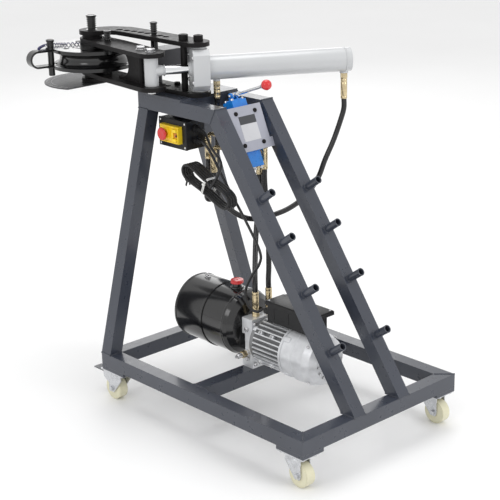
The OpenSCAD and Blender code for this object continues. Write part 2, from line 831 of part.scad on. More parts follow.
// Valve, with its own x out of the plate's face and z up the plate
module at_valve() {
    translate([valve_x, valve_y, valve_z]) rotate([0, -valve_a, 0]) children();
}
module valve_plate() {
    color("#a9abb3") placed() at_valve() difference() {
        union() {
            translate([-valve_plate_t, -valve_plate_w, -valve_plate_h/2])
                cube([valve_plate_t, 2*valve_plate_w, valve_plate_h]);
            translate([-valve_plate_t, valve_plate_w, -valve_plate_h/2])
                cube([valve_plate_t, -2*valve_y, valve_tab_h]);
        }
        for (y = [-1, 1], z = [-1, 1]) translate([-valve_plate_t - over, y*valve_bolt_y, z*valve_bolt_z])
            rotate([0, 90, 0]) cylinder(d = valve_bolt_d, h = valve_plate_t + 2*over);
    }
}
module valve_body() {
    back = -valve_plate_t - valve_d;
    color("#1f6fd0") placed() at_valve() {
        translate([back, -valve_w/2, -valve_h/2]) cube([valve_d, valve_w, valve_h]);
        translate([back + (valve_d - cap_d)/2, -cap_w/2, valve_h/2]) cube([cap_d, cap_w, cap_h]);
        translate([back + (valve_d - cap_d)/2, -foot_w/2, -valve_h/2 - foot_h]) cube([cap_d, foot_w, foot_h]);
        for (s = [-1, 1]) translate([back + valve_d/2, s*(lever_eye_w/2 + seat_gap + ear_t/2), 0]) {
            translate([-lever_eye_d/2, -ear_t/2, valve_h/2 + cap_h]) cube([lever_eye_d, ear_t, lever_up]);
            translate([0, 0, valve_h/2 + cap_h + lever_up]) rotate([90, 0, 0])
                cylinder(d = lever_eye_d, h = ear_t, center = true);
        }
        translate([back + valve_d/2, 0, valve_h/2 + cap_h + lever_up]) rotate([90, 0, 0])
            cylinder(d = lever_pin_d, h = lever_eye_w + 2*ear_t, center = true);
    }
    // Ports for the two pipes, level so that each pipe meets a flat face
    color("#1f6fd0") placed() for (p = [fit_a, fit_b]) translate([back_x(pipe_z(p)), p[1], pipe_z(p)])
        rotate([0, 90, 0]) cylinder(r = valve_port_r, h = valve_port_l + valve_port_in);
}
module at_lever() {
    placed() at_valve() translate([-valve_plate_t - valve_d/2, 0, valve_h/2 + cap_h + lever_up])
        rotate([0, valve_a - lever_a, 0]) children();
}
module valve_lever() {
    color("#d8dadc") at_lever() difference() {
        union() {
            rotate([90, 0, 0]) cylinder(d = lever_eye_d, h = lever_eye_w, center = true);
            rotate([0, 90, 0]) cylinder(d = lever_rod_d, h = lever_len - knob_d/4);
        }
        rotate([90, 0, 0]) cylinder(d = lever_pin_d + 2*run_fit, h = 2*lever_eye_w, center = true);
    }
}
module lever_knob() {
    color("#d8232a") at_lever() difference() {
        translate([lever_len, 0, 0]) sphere(d = knob_d);
        rotate([0, 90, 0]) cylinder(d = lever_rod_d, h = lever_len - knob_d/4);
    }
}

// Switch
module switch_bracket() {
    color("#3b404b") placed() translate([box_x - bracket_in, box_y + box_d, box_z])
        cube([bracket_in + bracket_share*box_w, bracket_t, top_z - box_z]);
}
module switch_box() {
    color("#18181b") placed() translate([box_x, box_y, box_z]) {
        cube([box_w, box_d, box_h]);
        translate([box_w, box_d/2, 0.72*box_h]) rotate([0, 90, 0]) cylinder(d = gland_d, h = gland_l);
        translate([box_w, box_d/2, 0.3*box_h]) rotate([0, 90, 0]) cylinder(d = gland_d, h = gland_l);
    }
}
module switch_housing() {
    color("#f2c21a") placed() translate([box_x + flap_x - stop_at, box_y, box_z + flap_z]) difference() {
        union() {
            translate([0, -flap_d, 0]) cube([flap_w, flap_d, flap_h]);
            translate([stop_at, 0, flap_h/2]) rotate([90, 0, 0]) cylinder(d = 0.8*stop_d, h = flap_d + over);
        }
        translate([stop_at, over, flap_h/2]) rotate([90, 0, 0])
            cylinder(d = stop_stem_d + 2*seat_gap, h = flap_d + 3*over);
    }
}
module stop_button() {
    color("#e2261d") placed() translate([box_x + flap_x, box_y - flap_d, box_z + flap_z + flap_h/2])
        rotate([90, 0, 0]) {
            translate([0, 0, -flap_d + stop_travel + over])
                cylinder(d = stop_stem_d, h = flap_d + 2*over);
            translate([0, 0, stop_travel + 2*over]) cylinder(d1 = 0.7*stop_d, d2 = stop_d, h = stop_cap_h/2);
            translate([0, 0, stop_travel + 2*over + stop_cap_h/2])
                cylinder(d1 = stop_d, d2 = 0.86*stop_d, h = stop_cap_h/2);
        }
}

// Power unit, with its own x along the pump line from the manifold's left face
module on_pump(h) {
    placed() translate([crossbar_x - pump_w/2, pump_y, deck + h]) children();
}
module oil_tank() {
    r = tank_r;
    l = tank_l;
    color("#141416") on_pump(tank_h) difference() {
        union() {
            rotate([0, -90, 0]) rotate_extrude($fn = 96) polygon([[0, 0], [tank_neck_r, 0],
                [tank_neck_r, tank_wall], [0.8*r, 0.3*tank_dome], [0.95*r, 0.7*tank_dome], [r, tank_dome],
                [r, l - 2*tank_wall], [r - 2*tank_wall, l], [0, l]]);
            translate([-l/2 - bead_w, 0, 0]) rotate([0, 90, 0]) cylinder(r = r + bead, h = bead_w, $fn = 96);
            translate([-neck_x, 0, r - 2*bead]) cylinder(d = neck_d, h = neck_h + bead);
        }
        rotate([0, -90, 0]) translate([0, 0, tank_dome]) cylinder(r = r - tank_wall,
            h = l - tank_dome - tank_wall, $fn = 96);
        translate([-neck_x, 0, 0]) cylinder(d = neck_d - 2*tank_wall, h = 2*r);
    }
}
module filler_cap() {
    color("#d8232a") on_pump(tank_h) translate([-neck_x, 0, tank_r - bead + neck_h]) {
        translate([0, 0, seat_gap]) cylinder(d = cap_d2, h = cap_t);
        translate([0, 0, -neck_h]) cylinder(d = neck_d - 2*tank_wall - 2*seat_gap, h = neck_h + seat_gap);
    }
}
module pump_manifold() {
    color("#bcbec2") on_pump(0) difference() {
        translate([0, -manifold_w/2, 0]) cube([pump_w, manifold_w, manifold_h]);
        translate([-over, -manifold_w/2 - over, 0.28*manifold_h])
            cube([0.3*pump_w, 0.2*manifold_w, 0.4*manifold_h]);
    }
}
module motor_body() {
    color("#b4b6ba") on_pump(motor_h) translate([pump_w, 0, 0]) difference() {
        union() {
            rotate([0, 90, 0]) cylinder(r = flange_r, h = flange_t);
            translate([flange_t, 0, 0]) rotate([0, 90, 0]) cylinder(r = motor_r - fin_h, h = fin_end - flange_t);
            translate([fin_end, 0, 0]) rotate([0, 90, 0]) cylinder(r = motor_r, h = motor_l - fin_end);
            for (i = [0:fin_count - 1]) rotate([360*i/fin_count, 0, 0])
                translate([fin_start, -fin_t/2, 0]) cube([fin_end - fin_start, fin_t, motor_r - over]);
            translate([saddle_x, -saddle_w/2, 0]) cube([saddle_l, saddle_w, motor_r + cowl_over]);
        }
        translate([motor_l - shaft_in - over, 0, 0]) rotate([0, 90, 0])
            cylinder(d = shaft_d + 2*run_fit, h = shaft_in + 2*over);
    }
}
module motor_cowl() {
    r = motor_r + cowl_over;
    color("#b4b6ba") on_pump(motor_h) translate([pump_w + motor_l, 0, 0]) difference() {
        rotate([0, 90, 0]) rotate_extrude() polygon([[0, cowl_l - cowl_wall], [0, cowl_l],
            [0.66*r, cowl_l], [0.9*r, 0.82*cowl_l], [r, 0.55*cowl_l], [r, 0],
            [r - cowl_wall, 0], [r - cowl_wall, 0.55*cowl_l - cowl_wall/2],
            [0.9*r - cowl_wall, 0.82*cowl_l - cowl_wall], [0.66*r - cowl_wall/2, cowl_l - cowl_wall]]);
        for (q = [0.24, 0.42, 0.58]) for (i = [0:vent_n - 1]) rotate([360*(i + q)/vent_n, 0, 0])
            translate([cowl_l - 2*cowl_wall, 0, q*r]) rotate([0, 90, 0])
            cylinder(d = vent_d*(0.5 + q), h = 4*cowl_wall);
    }
}
module motor_rotor() {
    color("#3a3a3e") on_pump(motor_h) translate([pump_w + motor_l, 0, 0]) {
        translate([-shaft_in, 0, 0]) rotate([0, 90, 0]) cylinder(d = shaft_d, h = shaft_in + fan_t);
        translate([over, 0, 0]) rotate([0, 90, 0]) cylinder(r = fan_hub_r, h = fan_t);
        for (i = [0:blade_n - 1]) rotate([360*i/blade_n, 0, 0])
            translate([2*over, -blade_t/2, fan_hub_r/2]) cube([fan_t - 2*over, blade_t, fan_r - fan_hub_r/2]);
    }
}
module capacitor_box() {
    color("#18181b") on_pump(motor_h + motor_r + cowl_over + seat_gap) translate([cap_box_x, -cap_box_w/2, 0]) {
        cube([cap_box_l, cap_box_w, cap_box_h]);
        translate([0, gland_d/2, cap_box_h/2]) rotate([0, -90, 0]) cylinder(d = gland_d, h = gland_l);
    }
}
module capacitor_lid() {
    o = cap_lid_over;
    color("#1c1c1f") on_pump(motor_h + motor_r + cowl_over + seat_gap + cap_box_h)
        translate([cap_box_x - o, -cap_box_w/2 - o, 0])
        cube([cap_box_l + o + cap_lid_end, cap_box_w + 2*o, cap_lid_t]);
}

// Casters
caster_in_x = base_l/2 - pad_l/2;
caster_in_y = base_w/2 - caster_plate_w/2;
// sx and sy pick the corner, and the children's x is the way the wheel trails
module at_caster(sx, sy) {
    placed() translate([sx*(caster_in_x + (sx > 0 ? 0 : rear_caster_out)), sy*caster_in_y, 0])
        rotate([0, 0, sx > 0 ? 0 : 180]) children();
}
module caster_plates() {
    color("#c8cacd") for (sx = [-1, 1], sy = [-1, 1]) at_caster(sx, sy) {
        translate([-caster_plate_l/2, -caster_plate_w/2, caster_h - caster_plate_t])
            cube([caster_plate_l, caster_plate_w, caster_plate_t]);
        translate([0, 0, caster_h - caster_plate_t - race_h]) cylinder(r = race_r, h = race_h);
        translate([0, 0, caster_h - caster_plate_t - 2*race_h]) cylinder(d = king_d, h = race_h);
        translate([0, 0, caster_h - caster_plate_t - 2*race_h - fork_t - seat_gap])
            cylinder(d = 1.6*king_d, h = fork_t + seat_gap);
    }
}
module fork(brake) {
    top = caster_h - caster_plate_t - race_h - seat_gap;
    color("#c8cacd") difference() {
        union() {
            translate([0, 0, top - race_h + seat_gap]) cylinder(r = fork_w/2, h = race_h - seat_gap);
            for (s = [0, 1]) mirror([0, s, 0]) translate([0, fork_gap/2 + fork_t, 0]) rotate([90, 0, 0])
                linear_extrude(fork_t) polygon([[-fork_w/2, top], [fork_w/2, top],
                    [trail + fork_w/4, wheel_d/2], [trail + fork_w/6, wheel_d/2 - 1.2*axle_d],
                    [trail - fork_w/6, wheel_d/2 - 1.2*axle_d], [trail - fork_w/3, wheel_d/2],
                    [-fork_w/2 - axle_d/2, 0.82*top]]);
            if (brake) for (s = [0, 1]) mirror([0, s, 0]) translate([0, fork_gap/2 + fork_t, 0])
                rotate([90, 0, 0]) linear_extrude(fork_t) polygon([[0, top],
                    [trail + pedal_out + pedal_pin_d, top], [trail + pedal_out + pedal_pin_d, pedal_z - pedal_pin_d],
                    [trail, 1.2*wheel_d/2]]);
            translate([trail, 0, wheel_d/2]) rotate([90, 0, 0])
                cylinder(d = axle_d, h = fork_gap + 4*fork_t, center = true);
            for (s = [-1, 1]) translate([trail, s*(fork_gap/2 + 1.5*fork_t), wheel_d/2]) rotate([90, 0, 0])
                cylinder(d = 1.8*axle_d, h = fork_t, center = true);
            if (brake) translate([trail + pedal_out, 0, pedal_z]) rotate([90, 0, 0])
                cylinder(d = pedal_pin_d, h = fork_gap + over, center = true);
        }
        translate([0, 0, top - 3*race_h]) cylinder(d = king_d + 2*run_fit, h = 4*race_h);
        translate([trail, 0, wheel_d/2]) rotate([90, 0, 0]) difference() {
            cylinder(d = wheel_d + 3*over, h = fork_gap, center = true);
            cylinder(d = axle_d, h = 2*fork_gap, center = true);
        }
    }
}
module wheel() {
    color("#e6e2c4") translate([trail, 0, wheel_d/2]) rotate([90, 0, 0]) difference() {
        union() {
            cylinder(d = wheel_d, h = wheel_w - 2*over, center = true);
            cylinder(d = 0.9*wheel_d, h = wheel_w, center = true);
            cylinder(d = 2.4*axle_d, h = fork_gap - 2*seat_gap, center = true);
        }
        cylinder(d = axle_d + 2*run_fit, h = fork_gap, center = true);
    }
}
module brake_pedal() {
    color("#8a8c90") translate([trail + pedal_out, 0, pedal_z]) difference() {
        union() {
            rotate([90, 0, 0]) cylinder(d = 2*pedal_pin_d, h = pedal_w, center = true);
            translate([0, -pedal_w/2, pedal_pin_d - pedal_t]) cube([pedal_l, pedal_w, pedal_t]);
        }
        rotate([90, 0, 0]) cylinder(d = pedal_pin_d + 2*run_fit, h = 2*pedal_w, center = true);
    }
}
module fork_front_left() { at_caster(1, -1) fork(false); }
module fork_front_right() { at_caster(1, 1) fork(false); }
module fork_rear_left() { at_caster(-1, -1) fork(true); }
module fork_rear_right() { at_caster(-1, 1) fork(true); }
module wheel_front_left() { at_caster(1, -1) wheel(); }
module wheel_front_right() { at_caster(1, 1) wheel(); }
module wheel_rear_left() { at_caster(-1, -1) wheel(); }
module wheel_rear_right() { at_caster(-1, 1) wheel(); }
module brake_rear_left() { at_caster(-1, -1) brake_pedal(); }
module brake_rear_right() { at_caster(-1, 1) brake_pedal(); }

// Fittings at the valve and the pump
module elbow_pipe(p, l) {
    translate(p) {
        cylinder(d = pipe_d, h = over);
        translate([pipe_bend, 0, over]) rotate([90, 0, 180]) rotate_extrude(angle = 90)
            translate([pipe_bend, 0]) circle(d = pipe_d, $fn = 24);
        translate([pipe_bend, 0, over + pipe_bend]) rotate([0, 90, 0]) cylinder(d = pipe_d, h = l);
        translate([0, 0, -ferrule_l/2]) cylinder(d = ferrule_d, h = ferrule_l/2);
        translate([0, 0, -ferrule_l]) cylinder(d = 0.9*ferrule_d, h = ferrule_l/2);
    }
}
function pipe_z(p) = p[2] + over + pipe_bend;
function back_x(z) = valve_x - (valve_plate_t + valve_d)/cos(valve_a) - valve_port_l - (z - valve_z)*tan(valve_a);
module hydraulic_fittings() {
    color("#b59a5b") placed() {
        for (p = [fit_a, fit_b]) elbow_pipe(p, back_x(pipe_z(p)) - p[0] - pipe_bend);
        for (p = [fit_p, fit_t]) translate(p) {
            translate([0, 0, -ferrule_l]) cylinder(d = ferrule_d, h = ferrule_l);
            hex_head(1.1*ferrule_d, port_hex_h);
            translate([0, 0, port_hex_h]) cylinder(d = ferrule_d, h = ferrule_d/2);
            translate([0, 0, port_hex_h + ferrule_d/2]) sphere(d = ferrule_d);
            translate([0, 0, port_hex_h + ferrule_d/2]) rotate([90, 0, 0])
                cylinder(d = ferrule_d, h = p[1] - valve_y - valve_w/2);
        }
        for (q = [pump_port_p, pump_port_t]) translate([q[0], q[1], deck + manifold_h]) {
            hex_head(1.1*ferrule_d, port_hex_h);
            cylinder(d = ferrule_d, h = pump_fit_h);
        }
        translate([crossbar_x, pump_y - manifold_w/2, deck + 0.3*manifold_h]) rotate([90, 0, 0]) {
            cylinder(d = relief_d, h = 0.4*relief_l);
            hex_head(relief_d, relief_l);
        }
    }
}

// Hoses and cords
rear_route = [[-42, 325, 826.6], [-42, 325, 800], [-44, 316, 771], [-51, 293, 712], [-56, 263, 659],
    [-60, 239, 611], [-72, 200, 564], [-86, 153, 537], [-102, 107, 524], [-118, 70, 518], [-138, 40, 521],
    [-158, 14, 537], [-178, -6, 562], [-194, -16, 594], [-203, -20, 630], [-204, -20, 653.7]];
front_route = [[-224, 16, 851.6], [-224, 16, 800], [-232, 18, 700], [-244, 14, 600], [-246, 0, 562],
    [-238, -14, 590], [-227, -20, 650], [-226, -20, 687.7]];
press_route = [[-72, 46, 673.4], [-72, 46, 630], [-54, 38, 520], [-34, 20, 420], [-28, 12, 380],
    [-28, 12, 353.6]];
return_route = [[-93, 46, 655.4], [-93, 46, 610], [-74, 12, 500], [-42, -24, 420], [-28, -38, 380],
    [-28, -38, 353.6]];
module rear_port_hose() {
    color("#1c1c1e") placed() tube_along(smooth(rear_route, 2), hose_d, hose_sides);
}
module front_port_hose() {
    color("#1c1c1e") placed() tube_along(smooth(front_route, 2), hose_d, hose_sides);
}
module supply_hoses() {
    color("#1c1c1e") placed() for (r = [press_route, return_route])
        tube_along(smooth(r, 2), hose_d, hose_sides);
}

// Mains cord, tied in a hank with a waist, its plug hanging from the end
hank_at = [-165, -92, 633];
hank_turns = 4.25;
hank_steps = 24;
hank_pitch = 9;
hank_long = 96;
hank_wide = 42;
hank_waist = 0.45;
hank_a = 22;
function hank_turned(p) = [p[0]*cos(hank_a) + p[1]*sin(hank_a), 0, p[1]*cos(hank_a) - p[0]*sin(hank_a)];
function hank_point(i) = let (a = 90 + 360*i/hank_steps)
    hank_at + [0, hank_pitch*i/hank_steps, 0]
    + hank_turned([hank_long*cos(a), hank_wide*sin(a)*(hank_waist + (1 - hank_waist)*cos(a)*cos(a))]);
hank_in = hank_turned([1, 0]);
hank_out = hank_turned([0, -1]);
hank_loops = [for (i = [0:hank_turns*hank_steps]) hank_point(i)];
hank_start = hank_loops[0] + 1.5*cord_d*hank_in;
hank_end = hank_loops[len(hank_loops) - 1] + 1.5*cord_d*hank_out;
hank_path = concat([hank_start], hank_loops, [hank_end]);
hank_gap = min([for (i = [0:len(hank_loops) - 1]) for (j = [i + hank_steps/2:i + 3*hank_steps/2])
    if (j < len(hank_loops)) norm(hank_loops[i] - hank_loops[j])]) - cord_d;
echo(str("least gap in the tied cord ", hank_gap));
module power_cord_coil() {
    color("#151517") placed() tube_along(hank_path, cord_d, 6);
}
cord_route = concat([[-224.6, -51, 775], [-213, -51, 775], [-190, -56, 764], [-150, -74, 740], [-96, -88, 706]],
    [hank_start + 2*cord_d*hank_in, hank_start + 0.1*cord_d*hank_in]);
module power_cord() {
    color("#151517") placed() tube_along(smooth(cord_route, 2), cord_d, cord_sides);
}
plug_d = 26;
plug_l = 38;
plug_neck_d = 14;
plug_neck_l = 12;
blade = [6.3, 1.5, 16];
blade_gap = 12.7;
module mains_plug() {
    color("#151517") placed() translate(hank_end) rotate([0, 180 + hank_a, 0]) {
        cylinder(d = plug_neck_d, h = plug_neck_l);
        translate([0, 0, plug_neck_l]) cylinder(d = plug_d, h = plug_l - plug_neck_l);
        for (y = [-1, 1]) translate([-blade[0]/2, y*blade_gap/2 - blade[1]/2, plug_l]) cube(blade);
    }
}
cable_route = [[-224.6, -51, 742], [-213, -51, 742], [-188, -45, 716], [-130, -40, 634], [-50, -44, 546],
    [6, -50, 480], [6, -52, 445], [-20, -58, 405], [-41, -62, 357], [-30, -62, 318], [-8, -54, 305],
    [6, -43, 313], [17.7, -43, 313]];
module motor_cable() {
    color("#151517") placed() tube_along(smooth(cable_route, 2), cord_d, cord_sides);
}

base_rails();
frame_plates();
rear_legs();
top_rails();
rack_legs();
storage_pegs();
lower_link();
upper_link();
frame_bolts();
degree_plate();
die_pin();
follow_pin();
follow_block();
swing_arm();
arm_bolts();
drive_pin();
bend_die();
hook_strap();
hook_pin();
tether_spring();
cylinder_barrel();
cylinder_head();
cylinder_fittings();
piston_rod();
rod_end();
valve_plate();
valve_body();
valve_lever();
lever_knob();
switch_bracket();
switch_box();
switch_housing();
stop_button();
oil_tank();
filler_cap();
pump_manifold();
motor_body();
motor_cowl();
motor_rotor();
capacitor_box();
capacitor_lid();
hydraulic_fittings();
caster_plates();
fork_front_left();
fork_front_right();
fork_rear_left();
fork_rear_right();
wheel_front_left();
wheel_front_right();
wheel_rear_left();
wheel_rear_right();
brake_rear_left();
brake_rear_right();
rear_port_hose();
front_port_hose();
supply_hoses();
power_cord();
power_cord_coil();
mains_plug();
motor_cable();
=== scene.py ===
"""Electric tube bender: finishes, hoses, cords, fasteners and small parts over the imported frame."""

import json
import math
from itertools import product

import bmesh
import bpy
from mathutils import Matrix, Vector


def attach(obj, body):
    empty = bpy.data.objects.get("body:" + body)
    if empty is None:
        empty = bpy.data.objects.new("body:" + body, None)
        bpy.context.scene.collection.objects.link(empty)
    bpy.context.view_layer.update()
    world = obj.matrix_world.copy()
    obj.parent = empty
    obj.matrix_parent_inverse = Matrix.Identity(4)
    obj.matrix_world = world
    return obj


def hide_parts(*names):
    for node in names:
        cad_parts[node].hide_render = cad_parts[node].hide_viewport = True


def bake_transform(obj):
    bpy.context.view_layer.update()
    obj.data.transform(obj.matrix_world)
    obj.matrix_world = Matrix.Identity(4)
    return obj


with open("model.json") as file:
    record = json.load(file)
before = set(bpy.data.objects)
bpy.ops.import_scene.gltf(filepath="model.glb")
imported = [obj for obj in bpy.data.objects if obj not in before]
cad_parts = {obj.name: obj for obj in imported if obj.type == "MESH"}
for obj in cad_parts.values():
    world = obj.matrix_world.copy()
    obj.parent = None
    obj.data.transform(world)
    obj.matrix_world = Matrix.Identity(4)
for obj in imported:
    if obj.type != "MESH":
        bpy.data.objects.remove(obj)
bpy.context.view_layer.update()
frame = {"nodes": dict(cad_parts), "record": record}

bl_info = {
    "name": "Electric tube bender",
    "version": (1, 0, 0),
    "blender": (4, 5, 0),
    "location": "View3D > Sidebar > Tube bender",
    "description": "Dresses the tube bender's frame with finishes, hoses, cords and fittings",
    "category": "Object",
}

# Places are in the millimetres of the plan, angles in degrees. This is the machine's middle in the plan
X_MID, Y_MID = -186.5, 33.509
# Heights of the base rails' top, the top frame's top and the tube's middle
DECK, TOP_Z, MID_Z = 141.0, 856.0, 936.0
# Square tube of the stand, and half the length and width of its base frame
RAIL, BASE_X, BASE_Y = 40, 404, 289
# The top frame's head end, the top plate's end, the ridge over the rack legs, and the frame's half width
TOP_X, PLATE_X, RIDGE_X, TOP_Y = -419, -238, -98, 104
# Where the rack legs meet the base, their rise and run, and the pegs' places as shares of a leg
RACK_FOOT, RACK_RISE, RACK_RUN = 355, 715, 502
RACK_LEG = math.hypot(RACK_RISE, RACK_RUN)
PEG_SHARES = (0.303, 0.446, 0.611, 0.798)
# The head's upright axes
DIE = (-625.0, -98.0)
TRUNNION = (-248.0, -24.0)
FOLLOW = (-420.305, -37.079)
ARM_ANGLE, CYLINDER_ANGLE, HOOK_ANGLE, VALVE_LEAN = -7.0, 59.396, -120.0, -22.8
LEG_LEAN = math.degrees(math.atan2(RACK_RISE, RACK_RUN))
# The rod end's eye along the cylinder's line from the trunnion
ROD_EYE = -130.294
# The top of the pump's block, and a caster's axle from its swivel on the floor
MANIFOLD_TOP = DECK + 142
AXLE = (14, 0, 32.5)


def at(x, y, z):
    """A point of the plan, in metres in the frame of the whole machine."""
    return Vector(((x - X_MID) / 1000, (y - Y_MID) / 1000, z / 1000))


def shift(x, y, z):
    """A move in millimetres."""
    return Matrix.Translation((x / 1000, y / 1000, z / 1000))


def turn(angle, axis):
    """A turn in degrees."""
    return Matrix.Rotation(math.radians(angle), 4, axis)


def place(x, y, z):
    """The matrix that takes a piece to a point of the plan."""
    return Matrix.Translation(at(x, y, z))


def on_pump(height):
    """The pump line at a height over the rails, its x from the manifold's left face."""
    return place(-49, -20, DECK + height)


def at_caster(sx, sy):
    """A caster's swivel, its x the way the wheel trails."""
    x = sx * 356.5 - (10 if sx < 0 else 0)
    return place(x, sy * 259, 0) @ turn(0 if sx > 0 else 180, "Z")


# Frames that the small parts are placed in
ON_DIE = place(*DIE, MID_Z)
ON_ARM = ON_DIE @ turn(ARM_ANGLE, "Z")
AT_HOOK = ON_DIE @ turn(HOOK_ANGLE, "Z") @ shift(120, 0, 0)
AT_FOLLOW = place(*FOLLOW, MID_Z)
ON_CYLINDER = place(*TRUNNION, MID_Z) @ turn(CYLINDER_ANGLE, "Z")
AT_VALVE = place(-71.4, -5, DECK + 654.8) @ turn(VALVE_LEAN, "Y")
ON_VALVE = AT_VALVE @ shift(-30, 0, 0)
AT_LEVER = ON_VALVE @ shift(0, 0, 96) @ turn(2.8, "Y")
NEAR_RACK = place(RIDGE_X, -84, TOP_Z) @ turn(LEG_LEAN, "Y")
FAR_RACK = place(RIDGE_X, 84, TOP_Z) @ turn(LEG_LEAN, "Y")
SWITCH_FRONT = place(-298, -84, DECK + 617) @ turn(90, "X")
AT_BUTTON = place(-313, -98, DECK + 618) @ turn(90, "X")
ON_MANIFOLD, ON_TANK = on_pump(0), on_pump(105)
AT_FILLER = ON_TANK @ shift(-72, 0, 0)
ON_MOTOR = on_pump(76) @ shift(40, 0, 0)
ON_CAPACITOR = on_pump(195.7) @ shift(83, 0, 0)
# Each caster's side along x and along y
CORNERS = {"front_left": (1, -1), "front_right": (1, 1), "rear_left": (-1, -1), "rear_right": (-1, 1)}

# The camera's place in metres, its azimuth, height and roll in degrees, and its lens in millimetres
CAMERA_PLACE = (2.7423, -2.4470, 1.6475)
CAMERA_TURN = (47.597, 18.503, -1.266)
LENS, SENSOR = 99.19, 36.0
# Each lamp's name, place, aim, width and power in watts, and the sky's strength
LAMPS = (("key light", (0.9, -3.9, 3.0), (0, 0, 0.7), 1.6, 24),
         ("side light", (4.2, 0.9, 2.6), (0, 0, 0.6), 1.4, 30),
         ("top light", (-0.4, 0.3, 3.8), (0, 0, 0.5), 1.8, 30),
         ("back light", (-3.2, 2.8, 2.2), (0, 0, 0.7), 2.0, 16))
SKY = 0.9
# The height of a rib of a pull pin's grip, and half the height of the hank's ties
PIN_RIB, TIE_WIDE = 6.0, 25.5
# The point of the front and of the rear hose's line from which on the hose hangs still
FRONT_STILL, REAR_STILL = 20, 30
# The tether's turns, their radius and its wire's diameter in millimetres
TETHER_TURNS, TETHER_RADIUS, TETHER_WIRE = 20, 2.9, 2.6


# Settings -----------------------------------------------------------------

def colour(name, description, default):
    """A colour that a user can change."""
    return bpy.props.FloatVectorProperty(name=name, description=description, default=default,
                                         subtype="COLOR", min=0, max=1, size=3)


def length(name, description, default):
    """A length in metres that a user can change."""
    return bpy.props.FloatProperty(name=name, description=description, default=default, min=0,
                                   subtype="DISTANCE", unit="LENGTH", precision=4)


class BenderColours(bpy.types.PropertyGroup):
    """Colours of the machine's finishes"""
    frame: colour("Frame", "Powder coat of the stand", (0.040, 0.046, 0.063))
    head: colour("Head", "Black oxide of the links and the die", (0.009, 0.0082, 0.0085))
    silver: colour("Silver", "Paint of the cylinder", (0.54, 0.55, 0.56))
    valve: colour("Valve", "Paint of the hand valve", (0.006, 0.19, 0.62))
    red: colour("Red", "Knob, stop button and filler cap", (0.62, 0.012, 0.014))
    yellow: colour("Yellow", "Stop button's housing", (0.93, 0.65, 0.015))
    black: colour("Black plastic", "Boxes and plugs", (0.010, 0.010, 0.011))
    rubber: colour("Rubber", "Hoses and cords", (0.007, 0.007, 0.008))
    tether: colour("Tether", "Coiled tether of the hook strap", (0.012, 0.012, 0.10))
    wheel: colour("Wheel", "Caster wheels", (0.72, 0.69, 0.50))


class BenderSizes(bpy.types.PropertyGroup):
    """Sizes of the machine's small parts"""
    hose: length("Hose", "Outer diameter of a hydraulic hose", 0.015)
    cord: length("Cord", "Outer diameter of the mains cord", 0.0075)
    weld: length("Weld", "Width of a weld bead", 0.0046)
    edge: length("Edge", "Rounding of the frame's edges", 0.0020)
    tick: length("Tick", "Width of a mark on the dial", 0.0011)


def colours():
    """The colours as they are set."""
    return bpy.context.scene.bender_colours


def sizes():
    """The sizes as they are set."""
    return bpy.context.scene.bender_sizes


# Finishes -----------------------------------------------------------------

